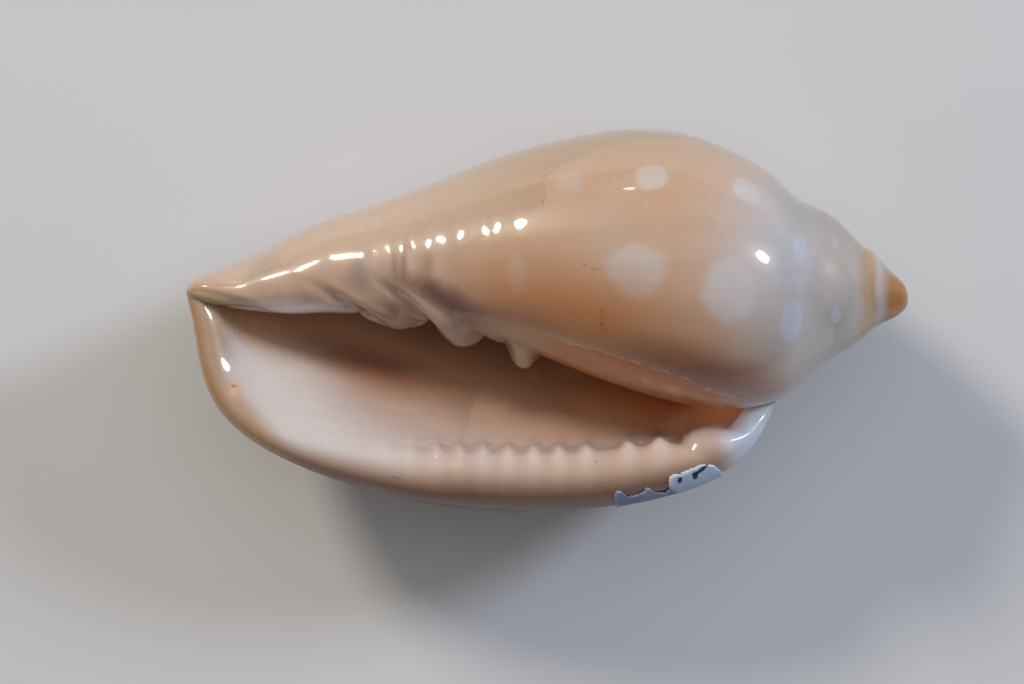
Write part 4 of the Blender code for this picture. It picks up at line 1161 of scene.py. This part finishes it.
# The paper is white; its blue tones are painted cool light.
PAPER_FACE, PAPER_SHADE, PAPER_EDGE = (0.62, 0.72, 0.95), (0.50, 0.60, 0.82), (0.82, 0.87, 0.95)
PAPER_TORN, PAPER_GRIME, INK_BLACK = (0.16, 0.21, 0.36), (0.40, 0.42, 0.46), (0.012, 0.012, 0.014)
FIBRE_STRETCH = (1.0, 2.2, 1.6)
FIBRE_SHADES, FLUFF_EDGE = (0.35, 0.7), (0.25, 0.5)
TORN_COVER, GRIME_COVER, INK_COVER, FLUFF_WHERE_TORN = 0.75, 0.3, 0.93, 0.3
# Marks of ink: x, y and z in the shell's axes, half lengths along them, slant.
INK = [((9.5, -11.1, 1.6), (0.5, 0.16, 1.2), 0.7), ((9.12, -11.42, 1.5), (0.2, 0.3, 1.2), 0.0),
       ((8.15, -11.75, 1.4), (0.2, 0.24, 1.0), 0.3)]


def label_material(fleck, mottle, lay):
    """Old paper with torn, fibrous edges, a short bent stroke of ink and a dot."""
    material, nodes, shader, place = new_material("label")
    edge, torn = nodes.mark("edge"), nodes.mark("torn")
    stretched = nodes.vector("MULTIPLY", place, FIBRE_STRETCH)
    fibres = nodes.noise(stretched, scale=2.6, detail=5.0, roughness=0.7, distortion=0.6)
    colour = nodes.blend(nodes.span(fibres, *FIBRE_SHADES), PAPER_SHADE, PAPER_FACE)
    colour = nodes.blend(nodes.part(torn, TORN_COVER), colour, PAPER_TORN)
    fluff = nodes.span(nodes.part(edge, fibres), *FLUFF_EDGE)
    fluff = nodes.part(fluff, nodes.span(torn, 0.0, 1.0, 1.0, FLUFF_WHERE_TORN))
    colour = nodes.blend(fluff, colour, PAPER_EDGE)
    grime = nodes.group(mottle, Place=place, Scale=0.8, Contrast=0.2)
    colour = nodes.blend(nodes.part(grime, GRIME_COVER), colour, PAPER_GRIME)
    for centre, size, slant in INK:
        stroke = nodes.group(fleck, Place=place, Centre=tuple(lay(centre)), Size=size, Slant=slant,
                             Softness=0.15, Ragged=0.9, Grain=3.0)
        colour = nodes.blend(nodes.part(stroke, INK_COVER), colour, INK_BLACK)
    nodes.put(shader.inputs["Base Color"], colour)
    shader.inputs["Roughness"].default_value = 0.8
    nodes.relief(shader, fibres, distance=0.00003, strength=0.6)
    return material


# ---- Floor, lamps and camera -------------------------------------------------------------------------

FLOOR_SIZE = 3.0
FLOOR_PALE, FLOOR_SHADE = (0.70, 0.70, 0.70), (0.66, 0.66, 0.67)
WORLD_SEEN, WORLD_GLOW = (0.72, 0.73, 0.75), (0.10, 0.105, 0.115)
# Lamps: direction from the shell in its own axes, distance, size and power in metres and watts, colour.
# The soft lamps light the shell without a reflection of their own; the glints only show in its gloss.
SOFT_LAMPS = {
    "left": ((-0.54, 0.60, 0.59), 0.5, (0.11, 0.11), 1.3, (1.0, 0.90, 0.78)),
    "right": ((0.73, 0.37, 0.57), 0.5, (0.11, 0.11), 1.0, (0.78, 0.92, 1.15)),
    "above": ((0.05, 0.25, 0.97), 0.6, (0.70, 0.70), 1.0, (1.0, 0.97, 0.94)),
}
GLINTS = {
    "left_glint": ((-0.60, 0.57, 0.56), 0.48, (0.12, 0.085), 0.6, (1.0, 0.93, 0.80)),
    "right_glint": ((0.73, 0.37, 0.57), 0.48, (0.07, 0.07), 0.35, (0.95, 0.97, 1.0)),
    "back_glint": ((-0.15, 0.92, 0.36), 0.48, (0.03, 0.02), 0.02, (1.0, 0.95, 0.88)),
}
VIEW_CENTRE = (-2.25, -3.19, 0.0)  # where the camera looks, in the shell's axes
VIEW_WIDTH = 64.0  # width of what it sees there
LENS, SENSOR = 150.0, 36.0
NEAREST_SEEN = 0.01


def floor_material(mottle):
    """Plain pale matt board, very slightly uneven."""
    material, nodes, shader, place = new_material("floor")
    cloud = nodes.group(mottle, Place=place, Scale=0.02, Contrast=0.3)
    nodes.put(shader.inputs["Base Color"], nodes.blend(cloud, FLOOR_SHADE, FLOOR_PALE))
    shader.inputs["Roughness"].default_value = 0.9
    shader.inputs["Specular IOR Level"].default_value = 0.2
    grain = nodes.noise(place, scale=3.0, detail=3.0)
    nodes.relief(shader, grain, distance=0.00002, strength=0.3)
    return material


def make_floor(mottle):
    """A wide flat board under the shell."""
    mesh = bpy.data.meshes.new("floor")
    half = FLOOR_SIZE / 2
    corners = [(-half, -half, 0), (half, -half, 0), (half, half, 0), (-half, half, 0)]
    mesh.from_pydata(corners, [], [(0, 1, 2, 3)])
    mesh.materials.append(floor_material(mottle))
    floor = bpy.data.objects.new("floor", mesh)
    bpy.context.scene.collection.objects.link(floor)


def make_world():
    """A dim room, which the camera sees as pale as the floor."""
    world = bpy.data.worlds.new("room")
    bpy.context.scene.world = world
    world.use_nodes = True
    nodes = Nodes(world.node_tree)
    seen = nodes.add("ShaderNodeLightPath").outputs["Is Camera Ray"]
    background = world.node_tree.nodes["Background"]
    nodes.put(background.inputs["Color"], nodes.blend(seen, WORLD_GLOW, WORLD_SEEN))


def make_lamps(middle):
    """Places every lamp round the middle of the shell, facing it."""
    for name, (direction, distance, size, power, colour) in {**SOFT_LAMPS, **GLINTS}.items():
        light = bpy.data.lights.new(name, "AREA")
        light.shape = "ELLIPSE"
        light.size, light.size_y = size
        light.energy, light.color = power, colour
        lamp = bpy.data.objects.new(name, light)
        towards = (TURN @ Vector(direction)).normalized()
        lamp.location = middle + towards * distance
        lamp.rotation_euler = towards.to_track_quat("Z", "Y").to_euler()
        lamp.visible_glossy = name in GLINTS
        lamp.visible_diffuse = name in SOFT_LAMPS
        bpy.context.scene.collection.objects.link(lamp)


def make_camera(bed):
    """Looks straight into the aperture, with the coiling axis level."""
    data = bpy.data.cameras.new("camera")
    data.lens, data.sensor_width, data.clip_start = LENS, SENSOR, NEAREST_SEEN
    camera = bpy.data.objects.new("camera", data)
    distance = VIEW_WIDTH * LENS / SENSOR * MM
    aim = Vector(bed.lay(VIEW_CENTRE) * MM)
    out = TURN @ Vector((0, 0, 1))
    camera.matrix_world = Matrix.Translation(aim + out * distance) @ TURN.to_4x4()
    bpy.context.scene.collection.objects.link(camera)
    bpy.context.scene.camera = camera


def main():
    """Makes the shell, its label and what they stand on and are lit by."""
    shell = Shell(COLUMNS, ROWS_TO_CORNER, ROWS_RIM, ROWS_SPIRE, ROWS_INSIDE)
    net = shell.net()
    points, traits = soften_spire(net), np.array(net.traits)
    used = np.unique([number for face in net.faces for number in face])
    bed = Bed(points[used])
    skin = BVHTree.FromPolygons(points.tolist(), net.faces)

    fleck, mottle = fleck_group(), mottle_group()
    material = shell_material(fleck, mottle, bed.lay)
    marks = {**marks_of_shell(traits, points), **spots_over(points, skin)}
    make_piece("shell", net, bed.lay(points), material, marks)

    paper = label_net(shell)
    points, traits = np.array(paper.points), np.array(paper.traits)
    marks = {"edge": traits[:, 0], "torn": traits[:, 1]}
    make_piece("label", paper, bed.lay(points), label_material(fleck, mottle, bed.lay), marks)

    make_floor(mottle)
    make_world()
    low, high = CAD_BOX
    make_lamps((Vector(low) + Vector(high)) / 2)
    make_camera(bed)


bpy.context.scene.view_settings.view_transform = "Standard"
main()
